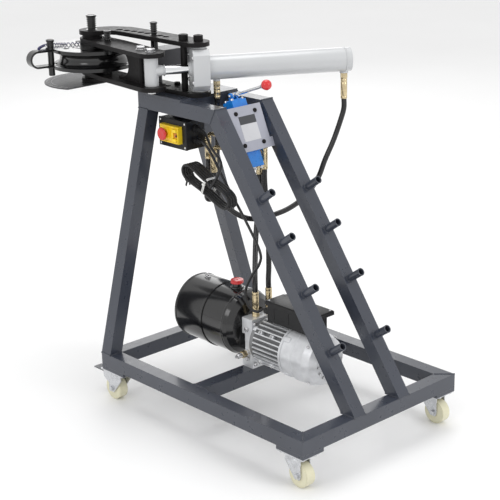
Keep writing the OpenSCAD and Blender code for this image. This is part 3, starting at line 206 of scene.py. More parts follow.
class Shader:
    """A material with a principled shader and patterns on object coordinates."""

    def __init__(self, name, base, rough, metal=0.0, coat=0.0, specular=0.5):
        self.material = bpy.data.materials.new(name)
        self.material.use_nodes = True
        self.material.diffuse_color = (*base, 1)
        self.tree = self.material.node_tree
        self.inputs = self.tree.nodes["Principled BSDF"].inputs
        self.base, self.rough = tuple(base), rough
        for socket, value in (("Base Color", (*base, 1)), ("Roughness", rough), ("Metallic", metal),
                              ("Coat Weight", coat), ("Coat Roughness", 0.12),
                              ("Specular IOR Level", specular)):
            self.feed(self.inputs[socket], value)
        self.place = self.node("TexCoord", "Object")
        self.normal = None

    def feed(self, socket, value):
        """A socket given a link from another one, or a plain value."""
        if isinstance(value, bpy.types.NodeSocket):
            self.tree.links.new(value, socket)
        else:
            socket.default_value = value

    def node(self, kind, output, fed=(), **settings):
        """An output of a new node whose inputs are fed with sockets or plain values."""
        n = self.tree.nodes.new("ShaderNode" + kind)
        for key, value in settings.items():
            setattr(n, key, value)
        for key, value in dict(fed).items():
            self.feed(n.inputs[key], value)
        return n.outputs[output]

    def noise(self, scale, detail=3.0, stretch=None):
        """A noise pattern, its scale in features per metre."""
        place = self.place
        if stretch:
            place = self.node("Mapping", "Vector", {"Scale": stretch, "Vector": place})
        return self.node("TexNoise", "Fac", {"Scale": scale, "Detail": detail, "Roughness": 0.55,
                                             "Vector": place})

    def span(self, value, low, high, from_low=0.3, from_high=0.7):
        """A pattern's values stretched between two others."""
        return self.node("MapRange", "Result", {"From Min": from_low, "From Max": from_high, "To Min": low,
                                                "To Max": high, "Value": value})

    def mix(self, factor, a, b):
        """A blend of two colours, each a plain one or a socket."""
        a, b = ((*v, 1) if isinstance(v, tuple) else v for v in (a, b))
        return self.node("Mix", "Result", {"Factor": factor, "A": a, "B": b}, data_type="RGBA")

    def bevelled(self, radius):
        """The surface's direction as if its edges were rounded."""
        return self.node("Bevel", "Normal", {"Radius": radius}, samples=4)

    def colour(self, tint):
        """A pattern of colour put on the shader, for the next pattern to build on."""
        self.tint = tint
        self.feed(self.inputs["Base Color"], tint)
        return self

    def relief(self, normal):
        """A pattern of relief put on the shader, for the next pattern to build on."""
        self.normal = normal
        self.feed(self.inputs["Normal"], normal)
        return self

    def vary(self, scale, amount, rough_amount=0.06):
        """Patches of slightly lighter and darker colour, and of duller and brighter gloss."""
        dark = tuple(c * (1 - amount) for c in self.base)
        light = tuple(min(1, c * (1 + amount)) for c in self.base)
        self.colour(self.mix(self.span(self.noise(scale), 0, 1), dark, light))
        self.feed(self.inputs["Roughness"], self.span(self.noise(scale * 5.3), self.rough - rough_amount,
                                                      self.rough + rough_amount, 0.2, 0.8))
        return self

    def soften(self, radius):
        """Rounded edges."""
        return self.relief(self.bevelled(radius))

    def wear(self, radius, worn, amount, scale=90):
        """Worn edges, broken up by noise."""
        flat = self.node("NewGeometry", "Normal")
        dot = self.node("VectorMath", "Value", {0: self.bevelled(radius), 1: flat}, operation="DOT_PRODUCT")
        broken = self.node("Math", "Value", {0: self.span(dot, amount, 0, 0.80, 0.985),
                                             1: self.span(self.noise(scale, 4), 0, 1, 0.42, 0.62)},
                           operation="MULTIPLY")
        return self.colour(self.mix(broken, self.tint, worn))

    def grain(self, scale, strength, depth=0.0001, stretch=None):
        """Fine relief all over, its depth in metres."""
        fed = {"Strength": strength, "Distance": depth, "Height": self.noise(scale, stretch=stretch)}
        if self.normal:
            fed["Normal"] = self.normal
        return self.relief(self.node("Bump", "Normal", fed))

    def painted_shade_towards_axis(self, axis, low, high, least):
        """Painted shade: colour falling off towards an axis along x, standing in for the shade that falls
        between fins.
        """
        away = self.node("VectorMath", "Vector", {0: self.place, 1: axis}, operation="SUBTRACT")
        flat = self.node("VectorMath", "Vector", {0: away, 1: (0, 1, 1)}, operation="MULTIPLY")
        radius = self.node("VectorMath", "Value", {0: flat}, operation="LENGTH")
        dark = tuple(v * least for v in self.base)
        return self.colour(self.mix(self.span(radius, 0, 1, low, high), dark, self.tint))


FINISHES = {}


def finish(slot, name, base, rough, patches, edge, grain, worn=None, **shine):
    """A finish for a material slot, from its patches, its edges' rounding, its grain and its worn edges."""
    made = Shader(name, base, rough, **shine).vary(*patches)
    if edge:
        made.soften(edge)
    if worn:
        made.wear(*worn)
    FINISHES[slot] = made.grain(*grain)
    return made


def make_finishes():
    """All the finishes, by the record's material slots."""
    c = colours()
    deep = 0.0002
    finish("frame_paint", "powder coat", c.frame, 0.30, (7, 0.10), sizes().edge, (420, 0.05),
           (0.0020, (0.20, 0.21, 0.23), 0.55), coat=0.3)
    finish("head_black", "black oxide", c.head, 0.40, (16, 0.30, 0.08), 0.0010, (700, 0.10),
           (0.0014, (0.10, 0.092, 0.088), 0.8, 60), specular=0.16)
    finish("die_gloss", "polished black", (0.006, 0.006, 0.0065), 0.17, (16, 0.25, 0.05), 0.0008, (300, 0.03),
           coat=0.35)
    finish("dial_grey", "dial plate", (0.085, 0.085, 0.09), 0.45, (60, 0.30, 0.1), 0, (1500, 0.2), metal=0.35)
    finish("block_grey", "milled block", (0.060, 0.060, 0.066), 0.36, (14, 0.15), 0.001,
           (260, 0.14, 0.0001, (1, 12, 12)), metal=0.5)
    finish("bolt_steel", "zinc plate", (0.62, 0.62, 0.63), 0.24, (90, 0.10), 0.0004, (1400, 0.08), metal=1.0)
    finish("tether_blue", "tether", c.tether, 0.22, (40, 0.2), 0, (900, 0.05), coat=0.6)
    finish("cylinder_paint", "silver paint", c.silver, 0.30, (5, 0.02, 0.015), 0.0014, (900, 0.015),
           metal=0.12, coat=0.35)
    finish("ferrule_brass", "yellow zinc", (0.66, 0.545, 0.34), 0.25, (45, 0.10, 0.05), 0.0004, (900, 0.04),
           metal=0.9)
    finish("rod_chrome", "hard chrome", (0.80, 0.81, 0.82), 0.07, (30, 0.03, 0.02), 0,
           (1500, 0.02, 0.0001, (1, 1, 8)), metal=1.0)
    finish("plate_grey", "valve plate", (0.36, 0.37, 0.43), 0.38, (18, 0.05), 0.0006, (900, 0.07),
           metal=0.15, coat=0.15)
    finish("valve_blue", "valve paint", c.valve, 0.30, (35, 0.14), 0.0014, (380, 0.4, deep), coat=0.4)
    finish("knob_red", "red plastic", c.red, 0.2, (30, 0.05, 0.03), 0.0006, (600, 0.02, deep), coat=0.5)
    finish("box_black", "black plastic", c.black, 0.42, (30, 0.12), 0.0012, (2200, 0.30), specular=0.35)
    finish("switch_yellow", "yellow plastic", c.yellow, 0.32, (40, 0.06), 0.0009, (1500, 0.06, deep),
           coat=0.2)
    finish("tank_black", "tank paint", (0.006, 0.006, 0.0065), 0.16, (10, 0.2, 0.04), 0.001,
           (40, 0.03, 0.0004), coat=0.5)
    finish("pump_aluminium", "cast aluminium", (0.70, 0.71, 0.73), 0.36, (45, 0.07, 0.06), 0.0010,
           (900, 0.22), metal=0.45)
    fins = finish("motor_fins_painted_shade", "finned casting", (0.72, 0.73, 0.75), 0.36, (45, 0.07, 0.06), 0.0010,
                  (900, 0.22), metal=0.4)
    # Painted shade: the casting's colour darkens towards the motor's axis, down between the fins where shade
    # falls
    fins.painted_shade_towards_axis(ON_MOTOR.translation, 0.0605, 0.0665, 0.12)
    finish("rotor_steel", "dark steel", (0.05, 0.05, 0.055), 0.4, (50, 0.2), 0, (700, 0.2, deep), metal=0.6)
    finish("caster_zinc", "caster zinc", (0.60, 0.61, 0.63), 0.28, (70, 0.10, 0.08), 0.0007, (500, 0.1),
           metal=0.9)
    finish("wheel_cream", "wheel nylon", c.wheel, 0.34, (35, 0.05), 0.0016, (260, 0.12, deep), coat=0.15)
    finish("pedal_grey", "pedal", (0.14, 0.145, 0.155), 0.42, (40, 0.08), 0.001, (900, 0.15, deep))
    finish("hose_rubber", "hose cover", c.rubber, 0.28, (60, 0.25), 0, (420, 0.14, deep), coat=0.15)
    finish("cord_black", "cord cover", c.rubber, 0.34, (70, 0.2), 0, (800, 0.12))
    finish("weld", "painted weld", tuple(0.92 * v for v in c.frame), 0.30, (30, 0.15), 0, (420, 0.4, deep),
           coat=0.3)
    finish("tie_white", "white nylon", (0.80, 0.80, 0.78), 0.36, (60, 0.04), 0, (1200, 0.1))
    finish("mark_white", "dial mark", (0.50, 0.50, 0.50), 0.5, (200, 0.2), 0, (1500, 0.1))
    finish("label_pale", "blank label", (0.56, 0.565, 0.59), 0.42, (25, 0.04), 0, (1200, 0.04))
    finish("label_dark", "blank label band", (0.045, 0.048, 0.055), 0.42, (25, 0.06), 0, (1200, 0.04, deep))
    finish("amber", "amber latch", (0.60, 0.20, 0.008), 0.3, (60, 0.1), 0, (900, 0.05, deep), coat=0.3)


# Nodes whose finish isn't their slot's; the motor's body takes the finned casting, which has painted shade
# between its fins
OWN_FINISH = {"bend_die": "die_gloss", "hook_strap": "die_gloss", "motor_body": "motor_fins_painted_shade"}


# Shapes -------------------------------------------------------------------

# Edges that turn by more than this many degrees stay sharp
SHARP = 35


def tidy(bm):
    """Doubles merged and faces turned outwards."""
    bmesh.ops.remove_doubles(bm, verts=bm.verts, dist=1e-6)
    bmesh.ops.dissolve_degenerate(bm, edges=bm.edges, dist=1e-7)
    bmesh.ops.recalc_face_normals(bm, faces=bm.faces)
    return bm


def put(bm, part, matrix):
    """A finished part added to a bigger mesh at its place."""
    tidy(part)
    bmesh.ops.transform(part, matrix=matrix, verts=part.verts)
    held = bpy.data.meshes.new("part")
    part.to_mesh(held)
    part.free()
    bm.from_mesh(held)
    bpy.data.meshes.remove(held)
    return bm


def spun(profile, steps=40, closed=False):
    """A solid of revolution about z from (radius, height) points in millimetres."""
    bm = bmesh.new()
    verts = [bm.verts.new((r / 1000, 0, z / 1000)) for r, z in profile]
    ends = list(zip(verts, verts[1:])) + ([(verts[-1], verts[0])] if closed else [])
    edges = [bm.edges.new(pair) for pair in ends]
    bmesh.ops.spin(bm, geom=verts + edges, cent=(0, 0, 0), axis=(0, 0, 1), dvec=(0, 0, 0),
                   angle=2 * math.pi, steps=steps, use_merge=True, use_duplicate=False)
    return bm


def rounded(bm, edges, width, segments=2):
    """Edges rounded by a width in millimetres."""
    if width > 0 and edges:
        bmesh.ops.bevel(bm, geom=list(edges), offset=width / 1000, segments=segments, affect="EDGES",
                        profile=0.5, material=-1)
    return bm


def block(x, y, z, edge=0.6, segments=2):
    """A rounded block in millimetres, its middle at the origin."""
    bm = bmesh.new()
    bmesh.ops.create_cube(bm, size=1.0, matrix=Matrix.Diagonal((x / 1000, y / 1000, z / 1000, 1)))
    return rounded(bm, bm.edges, edge, segments)


def ring(profile, steps):
    """A turned ring, its profile closed."""
    return spun(profile, steps, closed=True)


def round_bar(radius, height, edge=0.5):
    """An upright round bar with rounded rims, its foot at the origin."""
    e = min(edge, radius * 0.4, height * 0.4)
    k = 0.3 * e
    return spun([(0, 0), (radius - e, 0), (radius - k, k), (radius, e), (radius, height - e),
                 (radius - k, height - k), (radius - e, height), (0, height)], 32)


def hexagon(across, height, chamfer=0.8):
    """A hexagon head with turned corners; across is over its corners."""
    bm = bmesh.new()
    r = across / 2000
    bmesh.ops.create_cone(bm, cap_ends=True, segments=6, radius1=r, radius2=r, depth=height / 1000)
    bmesh.ops.translate(bm, vec=(0, 0, height / 2000), verts=bm.verts)
    rims = [e for e in bm.edges if abs(e.verts[0].co.z - e.verts[1].co.z) < 1e-6]
    return rounded(bm, rims, chamfer, 2)


def washer(outer, inner, height):
    """A flat ring."""
    inside, outside = inner / 2, outer / 2
    return ring([(inside, 0), (outside - 0.3, 0), (outside, 0.3), (outside, height - 0.3),
                 (outside - 0.3, height), (inside, height)], 32)


def socket_head(across, height, socket):
    """A cap screw's head with a knurled side and a hexagon socket."""
    bm = bmesh.new()
    r = across / 2000
    top = bmesh.ops.create_circle(bm, segments=48, radius=r)["verts"]
    for i, v in enumerate(top):
        v.co.xy *= 1.0 if i % 2 else 0.975
        v.co.z = (height - 1.0) / 1000
    rim = list(bm.edges)
    down = bmesh.ops.extrude_edge_only(bm, edges=rim)["geom"]
    low = [v for v in down if isinstance(v, bmesh.types.BMVert)]
    for v in low:
        v.co.z = 0
    bm.faces.new(low)
    up = bmesh.ops.extrude_edge_only(bm, edges=rim)["geom"]
    for v in (v for v in up if isinstance(v, bmesh.types.BMVert)):
        v.co.xy *= 0.9
        v.co.z = height / 1000
    outer = [e for e in up if isinstance(e, bmesh.types.BMEdge)]
    mouth = bmesh.ops.create_circle(bm, segments=6, radius=socket / 2000)["verts"]
    for v in mouth:
        v.co.z = height / 1000
    inner = list({e for v in mouth for e in v.link_edges})
    bmesh.ops.bridge_loops(bm, edges=outer + inner)
    sunk = bmesh.ops.extrude_edge_only(bm, edges=inner)["geom"]
    floor = [v for v in sunk if isinstance(v, bmesh.types.BMVert)]
    for v in floor:
        v.co.z = 0.45 * height / 1000
    bm.faces.new(floor)
    return bm


def cup_screw(across):
    """A small raised screw head with a cross on it."""
    r = across / 2
    bm = spun([(0, 0), (r, 0), (r, 0.5), (r / 1.2, 1.2), (r / 2, 1.7), (0, 1.8)], 20)
    for a in (0, 90):
        put(bm, block(across * 0.55, across * 0.12, 0.5, 0.05, 1), turn(a, "Z") @ shift(0, 0, 1.75))
    return bm


def build(name, body, slot, parts, **more):
    """A piece made of finished parts, each given with the place that it goes to."""
    bm = bmesh.new()
    for part, where in parts:
        put(bm, part, where)
    return piece(name, bm, body, slot, **more)


def piece(name, bm, body, slot, finish=None, replaces=()):
    """A bmesh made a piece that rides on a body, with its edges sharp past SHARP degrees."""
    bmesh.ops.remove_doubles(bm, verts=bm.verts, dist=1e-7)
    bm.normal_update()
    for face in bm.faces:
        face.smooth = True
    for edge in bm.edges:
        if len(edge.link_faces) == 2 and edge.calc_face_angle(0) > math.radians(SHARP):
            edge.smooth = False
    mesh = bpy.data.meshes.new(name)
    bm.to_mesh(mesh)
    bm.free()
    obj = bpy.data.objects.new(name, mesh)
    return dress(obj, body, slot, finish, replaces)


def dress(obj, body, slot, finish=None, replaces=()):
    """A new object put in the scene, in its finish, and on its body if it is given one."""
    bpy.context.scene.collection.objects.link(obj)
    if not obj.data.materials:
        obj.data.materials.append(FINISHES[finish or slot].material)
    if body:
        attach(obj, body)
    if replaces:
        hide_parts(*replaces)
    return obj


def smooth_route(points, steps=6):
    """A smooth line through a route's points, as the hoses of the plan have it."""
    p = [Vector(q) for q in points]
    line = []
    for i in range(len(p) - 1):
        a, b, c, d = p[max(i - 1, 0)], p[i], p[i + 1], p[min(i + 2, len(p) - 1)]
        for j in range(steps):
            t = j / steps
            line.append(0.5 * (2 * b + (c - a) * t + (2 * a - 5 * b + 4 * c - d) * t * t
                               + (3 * b - a - 3 * c + d) * t ** 3))
    return line + [p[-1]]


def tube(name, lines, diameter, body, slot, finish=None, replaces=(), swell=None, round_ends=6):
    """Round tubes along lines of points, as one curve with flat caps."""
    data = bpy.data.curves.new(name, "CURVE")
    data.dimensions = "3D"
    data.bevel_depth = diameter / 2
    data.bevel_resolution = round_ends
    data.use_fill_caps = True
    for line in lines:
        spline = data.splines.new("POLY")
        spline.points.add(len(line) - 1)
        for i, q in enumerate(line):
            spline.points[i].co = (*q, 1)
            spline.points[i].radius = swell(i) if swell else 1.0
        spline.use_smooth = True
    return dress(bpy.data.objects.new(name, data), body, slot, finish, replaces)


def ripple(i):
    """How wide a weld bead is at its point i, against its mean."""
    return 0.86 + 0.16 * math.sin(i * 2.1) * math.sin(i * 0.37 + 1) + 0.08 * (i % 3 == 0)


def bead(name, lines, width, body):
    """Weld beads along lines, with the ripple of a torch."""
    dense = []
    for line in lines:
        q = [Vector(v) for v in line]
        out = []
        for a, b in zip(q, q[1:]):
            n = max(2, int((b - a).length / 0.0011))
            out += [a.lerp(b, i / n) for i in range(n)]
        dense.append(out + [q[-1]])
    return tube(name, dense, width, body, "frame_paint", "weld", swell=ripple, round_ends=2)


# Routes of the hoses and cords, in the millimetres of the plan
REAR_ROUTE = [(-42, 325, 827), (-42, 325, 800), (-44, 316, 771), (-51, 293, 712), (-56, 263, 659),
              (-60, 239, 611), (-72, 200, 564), (-86, 153, 537), (-102, 107, 524), (-118, 70, 518),
              (-138, 40, 521), (-158, 14, 537), (-178, -6, 562), (-194, -16, 594), (-203, -20, 630),
              (-204, -20, 654)]
FRONT_ROUTE = [(-224, 16, 852), (-224, 16, 800), (-232, 18, 700), (-241, 17.5, 620), (-244, 17, 590),
               (-245.5, 12, 571), (-245.5, -1, 563), (-243, -14, 570), (-239.5, -18.5, 590),
               (-234, -19.5, 620), (-228, -20, 655), (-226, -20, 688)]
PRESS_ROUTE = [(-72, 46, 674), (-72, 46, 630), (-54, 38, 520), (-34, 20, 420), (-28, 12, 380),
               (-28, 12, 353)]
RETURN_ROUTE = [(-93, 46, 656), (-93, 46, 610), (-74, 12, 500), (-42, -24, 420), (-28, -38, 380),
                (-28, -38, 353)]
CABLE_ROUTE = [(-225, -51, 742), (-213, -51, 742), (-188, -45, 716), (-130, -40, 634), (-50, -44, 546),
               (6, -50, 480), (6, -52, 445), (-20, -58, 405), (-41, -62, 357), (-30, -62, 318),
               (-8, -54, 305), (6, -43, 313), (18, -43, 313)]
CORD_ROUTE = [(-225, -51, 775), (-213, -51, 775), (-190, -56, 764), (-150, -74, 740), (-96, -88, 706)]
# The tied hank's middle, its turns and the points in one, its pitch, half its length and half its width, the
# share of the width that is left at the waist, its lean, and the cord's diameter
HANK = (-165, -92, 633)
HANK_TURNS, HANK_STEPS, HANK_PITCH, HANK_LONG = 4.25, 24, 9, 96
HANK_WIDE, HANK_WAIST, HANK_ANGLE = 42, 0.45, 22
CORD_MM = 7.5
# The tether's way from the strap to the hub, from the die's middle
TETHER_ROUTE = [(-62, -143, 29.6), (-76, -126, 31), (-83, -104, 33), (-76, -78, 33.4), (-60, -54, 33.1),
                (-36, -20, 33.1)]


def hank_turned(x, z):
    """A move along and across the tied hank, which hangs askew."""
    a = math.radians(HANK_ANGLE)
    return Vector((x * math.cos(a) + z * math.sin(a), 0, z * math.cos(a) - x * math.sin(a)))


def hank_point(i):
    """A point of the hank's loops, which narrow at the waist where they are tied."""
    a = math.radians(90 + 360 * i / HANK_STEPS)
    lobe = HANK_WAIST + (1 - HANK_WAIST) * math.cos(a) ** 2
    return (Vector(HANK) + Vector((0, HANK_PITCH * i / HANK_STEPS, 0))
            + hank_turned(HANK_LONG * math.cos(a), HANK_WIDE * math.sin(a) * lobe))


HANK_LOOPS = [hank_point(i) for i in range(int(HANK_TURNS * HANK_STEPS) + 1)]
HANK_START = HANK_LOOPS[0] + 1.5 * CORD_MM * hank_turned(1, 0)
HANK_END = HANK_LOOPS[-1] + 1.5 * CORD_MM * hank_turned(0, -1)


def in_metres(points):
    """Points of the plan, in metres."""
    return [at(*p) for p in points]


# Operators -----------------------------------------------------------------

class BENDER_OT_camera(bpy.types.Operator):
    """Put the camera at the photograph's place and light the stand"""
    bl_idname = "bender.camera"
    bl_label = "Camera and light"

    def execute(self, context):
        scene = context.scene
        data = bpy.data.cameras.new("camera")
        data.lens, data.sensor_width = LENS, SENSOR
        data.clip_end = 50
        camera = bpy.data.objects.new("camera", data)
        scene.collection.objects.link(camera)
        a, e, roll = (math.radians(v) for v in CAMERA_TURN)
        back = Vector((math.sin(a) * math.cos(e), -math.cos(a) * math.cos(e), math.sin(e)))
        right = Vector((math.cos(a), math.sin(a), 0))
        up = back.cross(right)
        level, tilted = math.cos(roll), math.sin(roll)
        across, tall = right * level + up * tilted, up * level - right * tilted
        camera.matrix_world = (Matrix.Translation(CAMERA_PLACE)
                               @ Matrix((across, tall, back)).transposed().to_4x4())
        scene.camera = camera
        for lamp in LAMPS:
            self.lamp(scene, *lamp)
        world = bpy.data.worlds.new("studio")
        world.use_nodes = True
        sky = world.node_tree.nodes["Background"].inputs
        sky["Color"].default_value = (1, 1, 1, 1)
        sky["Strength"].default_value = SKY
        scene.world = world
        scene.view_settings.view_transform = "Standard"
        return {"FINISHED"}

    def lamp(self, scene, name, where, aim, size, power):
        """A square lamp turned towards the stand."""
        data = bpy.data.lights.new(name, "AREA")
        data.shape, data.size, data.energy = "SQUARE", size, power
        obj = bpy.data.objects.new(name, data)
        obj.location = where
        obj.rotation_euler = (Vector(aim) - Vector(where)).to_track_quat("-Z", "Y").to_euler()
        scene.collection.objects.link(obj)


class BENDER_OT_stage(bpy.types.Operator):
    """Lay the pale floor"""
    bl_idname = "bender.stage"
    bl_label = "Floor"

    def execute(self, context):
        bm = bmesh.new()
        bmesh.ops.create_grid(bm, x_segments=2, y_segments=2, size=9)
        mesh = bpy.data.meshes.new("floor")
        bm.to_mesh(mesh)
        bm.free()
        floor = bpy.data.objects.new("floor", mesh)
        context.scene.collection.objects.link(floor)
        paint = Shader("floor paper", (0.93, 0.93, 0.93), 0.6).vary(1.2, 0.01)
        mesh.materials.append(paint.material)
        return {"FINISHED"}


class BENDER_OT_finishes(bpy.types.Operator):
    """Make the finishes and put them on the frame's nodes"""
    bl_idname = "bender.finishes"
    bl_label = "Finishes"

    def execute(self, context):
        make_finishes()
        for sub in frame["record"]["subparts"]:
            mesh = frame["nodes"][sub["node"]].data
            mesh.materials.clear()
            name = OWN_FINISH.get(sub["node"], sub["material_slot"])
            mesh.materials.append(FINISHES[name].material)
        return {"FINISHED"}


class BENDER_OT_cords(bpy.types.Operator):
    """Run the mains cord, its tied hank, the ties, the plug and the motor's cable"""
    bl_idname = "bender.cords"
    bl_label = "Cords"

    def execute(self, context):
        d = sizes().cord
        lead = smooth_route(CORD_ROUTE + [HANK_START + 2 * CORD_MM * hank_turned(1, 0), HANK_START], 6)
        loops = smooth_route([HANK_START] + HANK_LOOPS + [HANK_END], 2)
        line = in_metres(lead[:-1] + loops)
        cord = tube("mains_cord", [line], d, "frame", "cord_black",
                    replaces=("power_cord", "power_cord_coil"))
        plug = self.plug()
        ties = self.ties()
        gland = self.gland("cord_gland", 775)
        cable_line = in_metres(smooth_route(CABLE_ROUTE, 6))
        cable = tube("motor_lead", [cable_line], d, "frame", "cord_black", replaces=("motor_cable",))
        low_gland = self.gland("cable_gland", 742)
        return {"FINISHED"}

    def plug(self):
        """A moulded plug with a ribbed neck and two blades."""
        where = Matrix.Translation(at(*HANK_END)) @ turn(180 + HANK_ANGLE, "Y")
        body = [(0, 0), (4.4, 0), (5.2, 1)]
        for z in (2, 4.6, 7.2, 9.8):
            body += [(6.6, z), (6.6, z + 1.4), (5.2, z + 1.8)]
        body += [(7.0, 13), (10.5, 16), (12.6, 21), (13.0, 27), (12.6, 34), (12.0, 37.2), (11.2, 38), (0, 38)]
        blades = [(block(6.3, 1.5, 17, 0.4), where @ shift(0, y, 46)) for y in (-6.35, 6.35)]
        return build("plug_body", "frame", "cord_black", [(spun(body, 40), where)] + blades,
                     replaces=("mains_plug",))

    def ties(self):
        """Two white ties side by side round the hank's waist."""
        parts = []
        middle = Vector(HANK) + Vector((0, HANK_PITCH * HANK_TURNS / 2, 0))
        half = HANK_PITCH * HANK_TURNS / 2 + CORD_MM / 2 + 1
        quarter = [(TIE_WIDE * 0.97, half * 0.55), (TIE_WIDE * 0.7, half)]
        loop = ([(z, -y) for z, y in quarter] + [(-z, -y) for z, y in reversed(quarter)]
                + [(-z, y) for z, y in quarter] + [(z, y) for z, y in reversed(quarter)])
        for along in (0, 4.5):
            tie = Matrix.Translation(at(*(middle + hank_turned(along, 0)))) @ turn(HANK_ANGLE, "Y")
            for (z0, y0), (z1, y1) in zip(loop, loop[1:] + loop[:1]):
                parts.append((block(3.0, 1.0, math.hypot(z1 - z0, y1 - y0) + 0.6, 0.3, 1),
                              tie @ shift(0, (y0 + y1) / 2, (z0 + z1) / 2)
                              @ turn(math.degrees(-math.atan2(y1 - y0, z1 - z0)), "X")))
            parts.append((block(5, 5, 6, 0.8), tie @ shift(0, -half - 1.5, TIE_WIDE * 0.4)))
        return build("cord_ties", "frame", "cord_black", parts, finish="tie_white")

    def gland(self, name, height):
        """A gland nut and a tapered strain relief on the box's side."""
        where = place(-241, -51, height) @ turn(90, "Y")
        body = [(0, 5.5), (9.3, 5.5), (9.3, 8), (8.6, 9), (8.6, 12), (7.6, 14)]
        for i in range(5):
            r, z = 7.2 - 0.55 * i, 15 + 2.6 * i
            body += [(r, z), (r, z + 1.6), (r - 0.9, z + 2.0)]
        body += [(4.0, 29), (0, 29)]
        return build(name, "frame", "box_black", [(hexagon(22, 6, 1.2), where), (spun(body, 32), where)])


class BENDER_OT_hoses(bpy.types.Operator):
    """Run the hydraulic hoses and crimp their ends"""
    bl_idname = "bender.hoses"
    bl_label = "Hoses"

    def execute(self, context):
        d = sizes().hose
        for name, route in (("return_hose", RETURN_ROUTE), ("pressure_hose", PRESS_ROUTE)):
            line = in_metres(smooth_route(route, 8))
            hose = tube(name, [line], d, "frame", "hose_rubber", replaces=("supply_hoses",), round_ends=8)
        self.swinging("front_hose", FRONT_ROUTE, d, "front_port_hose", FRONT_STILL)
        self.swinging("rear_hose", REAR_ROUTE, d, "rear_port_hose", REAR_STILL)
        self.crimps()
        return {"FINISHED"}

    def swinging(self, name, route, diameter, node, still):
        """A hose along its route, made a mesh that rides on no body; still is not used."""
        line = in_metres(smooth_route(route, 8))
        curve = tube(name + "_line", [line], diameter, None, "hose_rubber", round_ends=8)
        mesh = bpy.data.meshes.new_from_object(curve)
        bpy.data.objects.remove(curve)
        hose = dress(bpy.data.objects.new(name, mesh), None, "hose_rubber", replaces=(node,))
        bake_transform(hose)

    def crimps(self):
        """Crimped sleeves and swivel nuts of the hose ends."""
        parts = []
        for x, y, z in ((-204, -20, 709), (-226, -20, 743)):
            parts += [(self.sleeve(55), place(x, y, z - 55)), (hexagon(19.4, 9, 1), place(x, y, z - 2))]
        for x, y, z in ((-72, 46, 729), (-93, 46, 711)):
            parts += [(self.sleeve(55), place(x, y, z - 55)), (hexagon(21, 13, 1), place(x, y, z + 2))]
        for y in (12, -38):
            parts += [(self.sleeve(46), place(-28, y, MANIFOLD_TOP + 24)),
                      (hexagon(21, 9, 1), place(-28, y, MANIFOLD_TOP + 9)),
                      (hexagon(22, 8, 1), place(-28, y, MANIFOLD_TOP))]
        build("frame_crimps", "frame", "ferrule_brass", parts)
        parts = []
        for along, tall in ((405, 55), (47, 30)):
            parts += [(hexagon(20, 14, 1), ON_CYLINDER @ shift(along, 0, -51.5)),
                      (self.sleeve(tall), ON_CYLINDER @ shift(along, 0, -54 - tall))]
        build("cylinder_crimps", "cylinder", "ferrule_brass", parts)

    def sleeve(self, tall):
        """A crimped sleeve with a pressed band near each end."""
        out = [(0, -0.4), (8.6, -0.4), (9.2, 0.4)]
        for z in (5.5, tall - 9.5):
            out += [(9.2, z), (8.85, z + 0.5), (8.85, z + 2.0), (9.2, z + 2.5)]
        return spun(out + [(9.2, tall - 1.6), (8.6, tall - 0.5), (0, tall - 0.5)], 32)


class BENDER_OT_pins(bpy.types.Operator):
    """Turn the four pull pins with their ribbed grips"""
    bl_idname = "bender.pins"
    bl_label = "Pull pins"

    def execute(self, context):
        for name, body, where, low, high, shank, grip, ribs, flare in (
                ("pivot_pin", "die_pin", ON_DIE, -74, 74.3, 15.9, 13.4, 6, 1.0),
                ("block_pin", "follow_pin", AT_FOLLOW, -74, 74.3, 10, 9.6, 5, 0.5),
                ("arm_pin", "drive_pin", ON_ARM @ shift(86, 0, 0), -52, 52.3, 8, 9.6, 4, 0.4),
                ("strap_pin", "hook_pin", AT_HOOK, -51, 29.3, 9, 11.0, 3, 0.4)):
            shaft = [(0, low), (shank - 1.4, low), (shank, low + 1.4), (shank, high), (0, high)]
            build(name, body, "head_black", [(spun(shaft, 40), where),
                                             (spun(self.grip(high, shank, grip, ribs, flare), 40), where)],
                  finish="die_gloss", replaces=(body,))
        return {"FINISHED"}

    def grip(self, foot, shank, radius, ribs, flare):
        """The profile of a ribbed grip with a flat cap, from its foot up."""
        out = [(0, foot), (shank * 0.98, foot), (radius * 0.9, foot + 0.2)]
        for i in range(ribs):
            r, z = radius + flare * i / (ribs - 1), foot + 0.6 + PIN_RIB * i
            out += [(r * wide, z + PIN_RIB * share) for wide, share in
                    ((0.80, 0), (0.80, 0.34), (0.96, 0.46), (1, 0.58), (1, 0.84), (0.96, 0.96))]
        r, z = radius + flare, foot + 0.6 + PIN_RIB * ribs
        return out + [(r * wide, z + up) for wide, up in
                      ((0.88, 0), (0.9, 0.6), (1.04, 0.9), (1.06, 1.6), (1.06, 3), (1.0, 3.8), (0.9, 4),
                       (0.75, 4), (0.7, 3.3))] + [(0, z + 3.3)]


